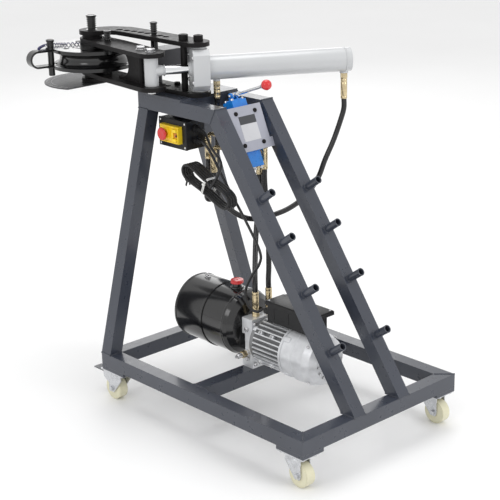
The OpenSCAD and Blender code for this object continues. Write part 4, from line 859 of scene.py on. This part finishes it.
class BENDER_OT_head(bpy.types.Operator):
    """Fit the head's fasteners, tether, dial marks and machined edges"""
    bl_idname = "bender.head"
    bl_label = "Bending head"

    def execute(self, context):
        self.link_fasteners()
        self.arm_fasteners()
        self.dial()
        self.tether()
        self.die_rings()
        return {"FINISHED"}

    def link_fasteners(self):
        """Trunnion screws, spacer and bolts that hold the links, and the valve plate's four bolts."""
        trunnion = place(*TRUNNION, MID_Z)
        spacer = place(TRUNNION[0] - 40.6, TRUNNION[1] - 18, MID_Z)
        parts = [(round_bar(10, 44, 0.6), trunnion @ turn(flip, "X") @ shift(0, 0, 31)) for flip in (0, 180)]
        parts += [(socket_head(26, 16, 14), trunnion @ shift(0, 0, 74)),
                  (round_bar(9, 123.6, 1.2), spacer @ shift(0, 0, -61.8)),
                  (round_bar(6, 148, 0.4), spacer @ shift(0, 0, -74)),
                  (socket_head(26, 16, 14), spacer @ shift(0, 0, 74))]
        for x, y in ((-364, -7), (-332, -5.5)):
            parts += [(round_bar(5, 26, 0.4), place(x, y, TOP_Z - 7)),
                      (hexagon(17.5, 6.4, 0.9), place(x, y, TOP_Z + 18)),
                      (hexagon(17.5, 6.4, 0.9), place(x, y, TOP_Z - 6.4))]
        dome = [(0, 0), (6, 0), (6, 1), (5.6, 2.6), (4.4, 3.7), (2.4, 4.2), (2.2, 2.6), (0, 2.6)]
        for y, z in product((-34, 34), (-43.4, 43.4)):
            parts += [(spun(dome, 24), AT_VALVE @ shift(0, y, z) @ turn(90, "Y")),
                      (round_bar(4, 5, 0.2), AT_VALVE @ shift(-4.5, y, z) @ turn(90, "Y"))]
        build("link_fasteners", "frame", "head_black", parts, replaces=("frame_bolts",))

    def arm_fasteners(self):
        """Bright hexagon heads over the post and the rod's pivot."""
        post, pivot = (ON_ARM @ shift(along, 0, 0) for along in (263, 313))
        parts = [(round_bar(5, 104, 0.3), post @ shift(0, 0, -52))]
        for where, twist in ((post, 0), (pivot, 13)):
            for side in (where, where @ turn(180, "X")):
                if where is pivot:
                    parts.append((round_bar(8, 11.6, 0.5), side @ shift(0, 0, 40.4)))
                parts += [(washer(27, 12, 1.4), side @ shift(0, 0, 52)),
                          (hexagon(25, 8, 1.4), side @ shift(0, 0, 53.2) @ turn(twist, "Z"))]
        build("arm_fasteners", "swing_arm", "bolt_steel", parts, replaces=("arm_bolts",))

    def dial(self):
        """Degree marks on the dial's rim, a longer one at each fifth."""
        bm = bmesh.new()
        w = sizes().tick * 1000
        where = place(DIE[0] - 20, DIE[1], TOP_Z + 6)
        for i in range(-60, 61):
            a = 180 + 2.0 * i
            long, wide = (11, 1.6 * w) if i % 5 == 0 else (6, w)
            r = 129 - long / 2
            if r * math.cos(math.radians(a)) <= 45:
                put(bm, block(long, wide, 0.3, 0.05, 1), where @ turn(a, "Z") @ shift(r, 0, 0.05))
        put(bm, ring([(112, -0.05), (112.8, -0.05), (112.8, 0.2), (112, 0.2)], 96), where)
        trimmed = bmesh.ops.bisect_plane(bm, geom=bm.verts[:] + bm.edges[:] + bm.faces[:], dist=1e-6,
                                         plane_co=at(DIE[0] + 34, 0, 0), plane_no=(1, 0, 0), clear_outer=True)
        cut = [e for e in trimmed["geom_cut"] if isinstance(e, bmesh.types.BMEdge)]
        bmesh.ops.holes_fill(bm, edges=cut)
        piece("dial_marks", bm, "frame", "dial_grey", finish="mark_white")

    def tether(self):
        """A springy cord in close turns from the strap to the hub."""
        middle = smooth_route(TETHER_ROUTE, 60)
        line = []
        side = Vector((0, 0, 1))
        for i, p in enumerate(middle):
            t = (middle[min(i + 1, len(middle) - 1)] - middle[max(i - 1, 0)]).normalized()
            side = (side - side.dot(t) * t).normalized()
            a = 2 * math.pi * TETHER_TURNS * i / (len(middle) - 1)
            q = p + TETHER_RADIUS * (math.cos(a) * side + math.sin(a) * t.cross(side))
            line.append(at(DIE[0] + q.x, DIE[1] + q.y, MID_Z + q.z))
        tube("hook_tether", [line], TETHER_WIRE / 1000, "bend_die", "tether_blue",
             replaces=("tether_spring",), round_ends=3)

    def die_rings(self):
        """A turned ring on the die's top and one on its bottom."""
        rim = [(60, 28.6), (62, 28.6), (62, 29.35), (61.4, 29.7), (60.6, 29.7), (60, 29.35)]
        build("die_rings", "bend_die", "head_black",
              [(ring(rim, 96), side) for side in (ON_DIE, ON_DIE @ turn(180, "X"))])


class BENDER_OT_cylinder(bpy.types.Operator):
    """Finish the cylinder's rod seal, weld rings and end cap"""
    bl_idname = "bender.cylinder"
    bl_label = "Cylinder"

    def execute(self, context):
        along = ON_CYLINDER @ turn(90, "Y")
        seal = [(12.1, -30), (16.5, -30), (18.6, -29), (18.6, -25), (19.6, -24.4), (19.6, -22.6),
                (12.1, -22.6)]
        front_weld = [(33, 22.4), (36.4, 22.4), (36.2, 24.4), (35.0, 26), (33, 26.6)]
        rear_weld = [(33, 404), (33.9, 405), (34.3, 406.2), (33.9, 407.4), (33, 408.4)]
        end_cap = [(0, 421.5), (21, 421.5), (22, 421.8), (22.4, 421.2), (22.4, 420), (0, 420)]
        build("cylinder_rings", "cylinder", "cylinder_paint",
              [(ring(seal, 40), along), (ring(front_weld, 64), along), (ring(rear_weld, 64), along),
               (spun(end_cap, 48), along)])
        build("head_screws", "cylinder", "bolt_steel",
              [(socket_head(11, 3, 6), ON_CYLINDER @ shift(-22.4, y, z) @ turn(-90, "Y"))
               for z in (-34, 34) for y in (-33, 33)])
        weld = [(11.6, 33.2), (15.6, 33.2), (15.2, 35.4), (13.8, 37.0), (12.2, 37.6), (11.6, 37.6)]
        build("rod_weld", "rod", "cylinder_paint",
              [(ring(weld, 40), ON_CYLINDER @ shift(ROD_EYE, 0, 0) @ turn(90, "Y"))])
        return {"FINISHED"}


class BENDER_OT_valve(bpy.types.Operator):
    """Build up the hand valve, its lever's collars and its plate's blank label"""
    bl_idname = "bender.valve"
    bl_label = "Hand valve"

    def execute(self, context):
        parts = [(block(54.5, 62.5, 9, 2.4, 3), ON_VALVE @ shift(0, 0, z)) for z in (-44, -15, 15, 44)]
        parts += [(round_bar(9, 10, 1.2), ON_VALVE @ shift(0, y, 30) @ turn(-90 if y > 0 else 90, "X"))
                  for y in (-32, 32)]
        parts.append((block(30, 42, 5, 1.6, 3), ON_VALVE @ shift(0, 0, 83)))
        build("valve_ribs", "frame", "valve_blue", parts)
        parts = []
        for y, x in product((-18, 18), (-13, 13)):
            parts += [(socket_head(8.4, 6, 4.6), ON_VALVE @ shift(x, y, 81.5)),
                      (socket_head(8.4, 6, 4.6), ON_VALVE @ shift(x, y * 0.9, -104) @ turn(180, "X"))]
        for s in (-1, 1):
            parts += [(hexagon(9, 3.4, 0.6), ON_VALVE @ shift(0, s * 10.4, 96) @ turn(-90 * s, "X")),
                      (hexagon(17, 8, 1), ON_VALVE @ shift(0, s * 29.5, -12) @ turn(-90 * s, "X"))]
        build("valve_screws", "frame", "bolt_steel", parts)
        root = [(4.05, 18), (6.4, 18), (7, 19), (7, 25), (6.2, 26.4), (4.05, 26.4)]
        neck = [(4.05, 120), (5.8, 121), (6.6, 124), (6.8, 127), (4.05, 127)]
        build("lever_collars", "valve_lever", "rod_chrome",
              [(ring(profile, 32), AT_LEVER @ turn(90, "Y")) for profile in (root, neck)])
        build("plate_label", "frame", "plate_grey",
              [(block(0.5, 58, 46, 0.1, 1), AT_VALVE @ shift(0.2, 0, -11))], finish="label_pale")
        build("plate_label_band", "frame", "plate_grey",
              [(block(0.5, 58, 22, 0.1, 1), AT_VALVE @ shift(0.25, 0, 23.1))], finish="label_dark")
        return {"FINISHED"}


class BENDER_OT_switch(bpy.types.Operator):
    """Build the switch box's lid, screws, yellow flap and mushroom button"""
    bl_idname = "bender.switch"
    bl_label = "Stop switch"

    def execute(self, context):
        build("switch_lid", "frame", "box_black",
              [(block(116, 80, 5, 1.2, 3), SWITCH_FRONT @ shift(0, 0, -1.6)),
               (block(115, 79, 1.6, 0.5), SWITCH_FRONT @ shift(0, 0, -8))])
        build("switch_screws", "frame", "bolt_steel",
              [(cup_screw(7), SWITCH_FRONT @ shift(x, y, 0.6)) for x, y in product((-51, 51), (-33, 33))])
        self.flap()
        self.button()
        return {"FINISHED"}

    def flap(self):
        """The flap's frame, hinge, latch and ribs over the yellow housing."""
        collar = [(9.2, -2), (15.6, -2), (15.6, 1.2), (14.6, 1.9), (10.2, 1.9), (9.2, 1.2)]
        parts = [(ring(collar, 40), AT_BUTTON)]
        parts += [(block(76, 3.6, 3.2, 1.0), AT_BUTTON @ shift(17, y, 0.8)) for y in (-21.5, 21.5)]
        parts.append((block(3.6, 46, 3.2, 1.0), AT_BUTTON @ shift(53.5, 0, 0.8)))
        parts += [(block(17, 9, 9, 1.6, 3), AT_BUTTON @ shift(44, y, 3.2)) for y in (-13, 13)]
        parts.append((block(8, 17, 5, 1.2), AT_BUTTON @ shift(33.5, 0, 1.8)))
        parts += [(round_bar(3.2, 8, 0.6), AT_BUTTON @ shift(-23.6, y, -6) @ turn(90, "X"))
                  for y in (-8, 16)]
        build("flap_frame", "frame", "switch_yellow", parts)
        build("flap_latch", "frame", "switch_yellow",
              [(block(12, 13, 4, 1.0), AT_BUTTON @ shift(44.5, 0, 0.6))], finish="amber")
        build("flap_peg", "frame", "box_black", [(block(4, 5, 5, 0.8), AT_BUTTON @ shift(51, 0, 3.2))])

    def button(self):
        """A mushroom button with a dished top."""
        stem = [(0, -9), (7.6, -9), (7.6, 6.2), (12.2, 6.2), (13.4, 6.8), (15.4, 8.6), (17.2, 10.4),
                (18.0, 12.0), (17.8, 13.4), (16.6, 14.8), (14.6, 15.6), (11.6, 15.9), (9, 15.7), (5, 15.3),
                (0, 15.1)]
        build("stop_mushroom", "stop_button", "knob_red", [(spun(stem, 56), AT_BUTTON)],
              replaces=("stop_button",))


class BENDER_OT_power_unit(bpy.types.Operator):
    """Build up the tank, the filler cap, the motor and its capacitor box"""
    bl_idname = "bender.power_unit"
    bl_label = "Power unit"

    def execute(self, context):
        self.tank()
        self.cap()
        self.manifold()
        self.motor()
        self.capacitor()
        return {"FINISHED"}

    def tank(self):
        """Rolled seams, the filler's collar, a drain plug, a breather and the flange's screws."""
        line = ON_TANK @ turn(-90, "Y")
        parts = [(ring([(91.9, x), (93.0, x + 0.8), (93.4, x + 2), (93.0, x + 3.2), (91.9, x + 4)], 96), line)
                 for x in (40, 230)]
        collar = [(12.6, 0), (17.5, 0), (18.6, 1), (18.6, 4), (17, 5.4), (12.6, 5.4)]
        parts.append((ring(collar, 40), AT_FILLER @ shift(0, 0, 90.6)))
        build("tank_seams", "frame", "tank_black", parts)
        breather = [(0, 0), (9.5, 0), (9.5, 3), (7, 4.5), (7, 9), (4, 10.5), (4, 14), (0, 14)]
        parts = [(hexagon(20, 8, 1), ON_TANK @ shift(-200, 0, -91) @ turn(180, "X")),
                 (spun(breather, 28), ON_TANK @ shift(-196, 0, 91.4))]
        parts += [(socket_head(9, 6, 5), ON_TANK @ turn(a, "X") @ shift(-3, 0, 46) @ turn(-90, "Y"))
                  for a in range(0, 360, 60)]
        build("tank_plugs", "frame", "bolt_steel", parts)

    def cap(self):
        """A knurled filler cap with a raised rim."""
        side = [(0, 0.3), (17.6, 0.3), (18, 0.8), (18, 8.6), (17.2, 9.8), (14, 10.3), (12, 10.3), (11, 9.6),
                (0, 9.6)]
        cap = spun(side, 72)
        for v in cap.verts:
            outer = v.co.xy.length > 0.0174
            if outer and round(math.atan2(v.co.y, v.co.x) * 36 / math.pi) % 2:
                v.co.xy *= 0.965
        build("vented_cap", "filler_cap", "knob_red",
              [(cap, AT_FILLER @ shift(0, 0, 105.5)),
               (round_bar(9.6, 16.2, 0.6), AT_FILLER @ shift(0, 0, 89.6)),
               (round_bar(2.2, 1.2, 0.3), AT_FILLER @ shift(0, 0, 115))], replaces=("filler_cap",))

    def manifold(self):
        """Screws, plugs and the relief valve of the pump's block."""
        parts = [(socket_head(11, 7, 6), ON_MANIFOLD @ shift(40, y, z) @ turn(90, "Y"))
                 for z in (12, 130) for y in (-42, 42)]
        parts += [(hexagon(15, 5, 0.8), ON_MANIFOLD @ shift(20, 50 * s, z) @ turn(-90 * s, "X"))
                  for z in (26, 112) for s in (-1, 1)]
        build("manifold_screws", "frame", "bolt_steel", parts)
        stem = [(0, 0), (7, 0), (7, 14), (6, 16), (4.2, 17), (4.2, 22), (0, 22)]
        build("relief_valve", "frame", "bolt_steel",
              [(hexagon(23, 9, 1.2), ON_MANIFOLD @ shift(20, -50, 42.6) @ turn(90, "X")),
               (spun(stem, 28), ON_MANIFOLD @ shift(20, -72, 42.6) @ turn(90, "X"))])

    def motor(self):
        """Lugs with their screws, and the cowl's rolled edges and grille rings."""
        line = ON_MOTOR @ turn(90, "Y")
        corners = [ON_MOTOR @ turn(a, "X") for a in (45, 135, 225, 315)]
        lugs = [ON_MOTOR @ turn(a, "X") @ shift(x, 0, 0) for a in (52, 125, -52, -125) for x in (38, 82)]
        parts = []
        for side in corners:
            parts += [(block(26, 15, 16, 2.4, 3), side @ shift(135, 0, 65)),
                      (block(13, 14, 14, 2.2, 3), side @ shift(7, 0, 58))]
        parts += [(block(13, 11, 12, 2.0, 3), lug @ shift(0, 0, 65.5)) for lug in lugs]
        for edge in ([(70.5, 120), (72.6, 121), (72.6, 126), (71, 127.5), (70.5, 127.5)],
                     [(71.8, 164.6), (73.0, 165.4), (73.2, 168), (72.6, 170), (71.8, 170)]):
            parts.append((ring(edge, 72), line))
        for r in (14, 24, 33, 41):
            bar = [(0, 242.4), (1.6, 242.4), (1.6, 243.6), (1.2, 244.0), (0.4, 244.0), (0, 243.6)]
            parts.append((ring([(r + out, z) for out, z in bar], 56), line))
        build("motor_castings", "frame", "pump_aluminium", parts)
        parts = []
        for side in corners:
            parts += [(hexagon(10, 5, 0.8), side @ shift(121.5, 0, 66) @ turn(-90, "Y")),
                      (hexagon(9, 4, 0.7), side @ shift(214, 0, 69.4))]
        parts += [(socket_head(8, 4, 4.4), lug @ shift(0, 0, 71)) for lug in lugs]
        build("motor_screws", "frame", "bolt_steel", parts)

    def capacitor(self):
        """The lid's rim and screws, the box's ribs and its gland."""
        top = ON_CAPACITOR
        parts = [(block(184, 72, 3, 1.2, 3), top @ shift(89, 0, 10.8))]
        parts += [(block(5, 60, 8, 1.4), top @ shift(x, 0, 5)) for x in (-3, 181)]
        parts += [(block(3, 66, 30, 1.0), top @ shift(x, 0, -22)) for x in (25, 80, 135)]
        build("capacitor_rim", "frame", "box_black", parts)
        build("capacitor_screws", "frame", "bolt_steel",
              [(cup_screw(7), top @ shift(x, y, 12.1)) for x, y in product((4, 174), (-29, 29))])
        root = top @ shift(0, 9, -23.7) @ turn(-90, "Y")
        relief = [(0, 5), (9.2, 5), (9.2, 8), (8.4, 12), (6.4, 17), (4.6, 24), (0, 24)]
        build("capacitor_gland", "frame", "box_black", [(hexagon(21, 6, 1), root), (spun(relief, 32), root)])


class BENDER_OT_casters(bpy.types.Operator):
    """Add the casters' ball races, screws, axle nuts, treads and pedal ribs"""
    bl_idname = "bender.casters"
    bl_label = "Casters"

    def execute(self, context):
        race = [(24, 80.4), (26.5, 80.8), (27.6, 82.4), (27.2, 85), (25, 87.8), (24, 88)]
        races, screws = [], []
        for name, (sx, sy) in CORNERS.items():
            where = at_caster(sx, sy)
            races.append((ring(race, 40), where))
            for x, y in product((-37, 37), (-21, 21)):
                screws += [(hexagon(12, 5, 0.9), where @ shift(x, y, 83)),
                           (washer(15, 6, 1), where @ shift(x, y, 87))]
            axle = where @ shift(*AXLE)
            self.fork(name, where, axle)
            self.wheel(name, axle @ turn(90, "X"))
            if sx < 0:
                self.pedal(name, where)
        build("caster_races", "frame", "caster_zinc", races)
        build("caster_screws", "frame", "bolt_steel", screws)
        return {"FINISHED"}

    def fork(self, name, where, axle):
        """Axle nuts and a dished crown."""
        crown = [(20, 79.7), (24.4, 79.7), (25.6, 78), (25.6, 74), (24.6, 72.4), (20, 72.4)]
        nuts = [(hexagon(14.5, 5.6, 0.9), axle @ shift(0, 18.6 * side, 0) @ turn(-90 * side, "X"))
                for side in (-1, 1)]
        build("fork_trim_" + name, "fork_" + name, "caster_zinc", nuts + [(ring(crown, 40), where)])

    def wheel(self, name, axle):
        """A crowned tread and hub rings."""
        half = [(20, 13.2), (29.0, 13.6), (31.2, 12.6), (32.2, 10.4), (32.5, 7)]
        tread = [(r, -z) for r, z in half] + half[::-1]
        hub = [(9.6, 13.8), (13, 14.6), (15, 14.3), (16, 13.4), (9.6, 13.2)]
        build("tread_" + name, "wheel_" + name, "wheel_cream",
              [(ring(tread, 56), axle)]
              + [(ring([(r, z * side) for r, z in hub], 40), axle) for side in (-1, 1)])

    def pedal(self, name, where):
        """Grip ribs across the pedal."""
        build("pedal_ribs_" + name, "brake_" + name, "pedal_grey",
              [(block(2.4, 22, 2, 0.7), where @ shift(x, 0, 71.6)) for x in range(64, 99, 7)])


class BENDER_OT_welds(bpy.types.Operator):
    """Lay the frame's weld beads"""
    bl_idname = "bender.welds"
    bl_label = "Welds"

    def execute(self, context):
        self.base()
        self.top()
        self.pegs()
        return {"FINISHED"}

    def base(self):
        """Mitres of the base frame, its crossbar and the legs' feet."""
        over, inner_x, inner_y = DECK + 0.3, BASE_X - RAIL, BASE_Y - RAIL
        seams = []
        for s in (-1, 1):
            out, leg_out, leg_in = s * BASE_Y, s * TOP_Y, s * (TOP_Y - RAIL)
            seams += [((sx * BASE_X, out, DECK), (sx * inner_x, s * inner_y, DECK)) for sx in (-1, 1)]
            seams += [((-BASE_X, out, over), (-inner_x, out, over)),
                      ((-inner_x, out, over), (-inner_x, out - 41 * s, over)),
                      ((-49, s * inner_y, DECK), (-9, s * inner_y, DECK)),
                      ((RACK_FOOT, leg_out, over), (BASE_X, leg_out, over)),
                      ((RACK_FOOT, leg_in, over), (BASE_X, leg_in, over)),
                      ((RACK_FOOT, leg_out, over), (RACK_FOOT, leg_in, over))]
        self.seams("base_welds", seams)

    def top(self):
        """The top frame's corners and the top plate's ends."""
        under, inner_x = TOP_Z - RAIL, TOP_X + RAIL
        seams = []
        for s in (-1, 1):
            side, out = s * (TOP_Y + 0.1), s * TOP_Y
            seams += [((TOP_X, side, under), (inner_x, side, under)),
                      ((inner_x, out, under - 0.2), (inner_x, 66 * s, under - 0.2)),
                      ((RIDGE_X, side, TOP_Z - 0.4), (RIDGE_X - 21, side, under + 0.4)),
                      ((RIDGE_X, out, TOP_Z), (RIDGE_X, s * (TOP_Y - RAIL), TOP_Z))]
        seams += [((PLATE_X, y, TOP_Z + 0.4), (PLATE_X, y + 38, TOP_Z + 0.4)) for y in (-TOP_Y, 66)]
        self.seams("top_welds", seams)

    def seams(self, name, seams):
        """Beads along straight seams, each given by its ends in the plan."""
        bead(name, [in_metres(ends) for ends in seams], sizes().weld, "frame")

    def pegs(self):
        """A bead round each peg's root and a rolled rim at its mouth."""
        round_peg = [Vector((math.cos(a) * 0.0108, math.sin(a) * 0.0108, 0.0006))
                     for a in (math.radians(15 * i) for i in range(25))]
        roots = [leg @ shift(share * RACK_LEG, 0, 0) for leg in (NEAR_RACK, FAR_RACK) for share in PEG_SHARES]
        bead("peg_welds", [[root @ v for v in round_peg] for root in roots], 0.0038, "frame")
        rim = [(8.0, 47.6), (10.5, 47.6), (10.9, 48.2), (10.7, 49.1), (9.8, 49.5), (8.6, 49.4), (8.0, 48.8)]
        build("peg_rims", "frame", "frame_paint", [(ring(rim, 32), root) for root in roots])


class BENDER_PT_panel(bpy.types.Panel):
    """The tube bender's settings and builders"""
    bl_idname = "BENDER_PT_panel"
    bl_label = "Tube bender"
    bl_space_type = "VIEW_3D"
    bl_region_type = "UI"
    bl_category = "Tube bender"

    def draw(self, context):
        """The settings, then a button for each builder."""
        for group in (context.scene.bender_sizes, context.scene.bender_colours):
            box = self.layout.box()
            for name in group.__annotations__:
                box.prop(group, name)
        for operator in BUILDERS:
            self.layout.operator(operator.bl_idname)


BUILDERS = (BENDER_OT_camera, BENDER_OT_stage, BENDER_OT_finishes, BENDER_OT_cords, BENDER_OT_hoses,
            BENDER_OT_pins, BENDER_OT_head, BENDER_OT_cylinder, BENDER_OT_valve, BENDER_OT_switch,
            BENDER_OT_power_unit, BENDER_OT_casters, BENDER_OT_welds)
GROUPS = (BenderColours, BenderSizes)


def register():
    for cls in GROUPS + BUILDERS + (BENDER_PT_panel,):
        bpy.utils.register_class(cls)
    bpy.types.Scene.bender_colours = bpy.props.PointerProperty(type=BenderColours)
    bpy.types.Scene.bender_sizes = bpy.props.PointerProperty(type=BenderSizes)


def unregister():
    del bpy.types.Scene.bender_sizes
    del bpy.types.Scene.bender_colours
    for cls in reversed(GROUPS + BUILDERS + (BENDER_PT_panel,)):
        bpy.utils.unregister_class(cls)


def main():
    """Everything built in the listed order."""
    register()
    for operator in BUILDERS:
        group, name = operator.bl_idname.split(".")
        getattr(getattr(bpy.ops, group), name)()


if __name__ == "__main__":
    main()
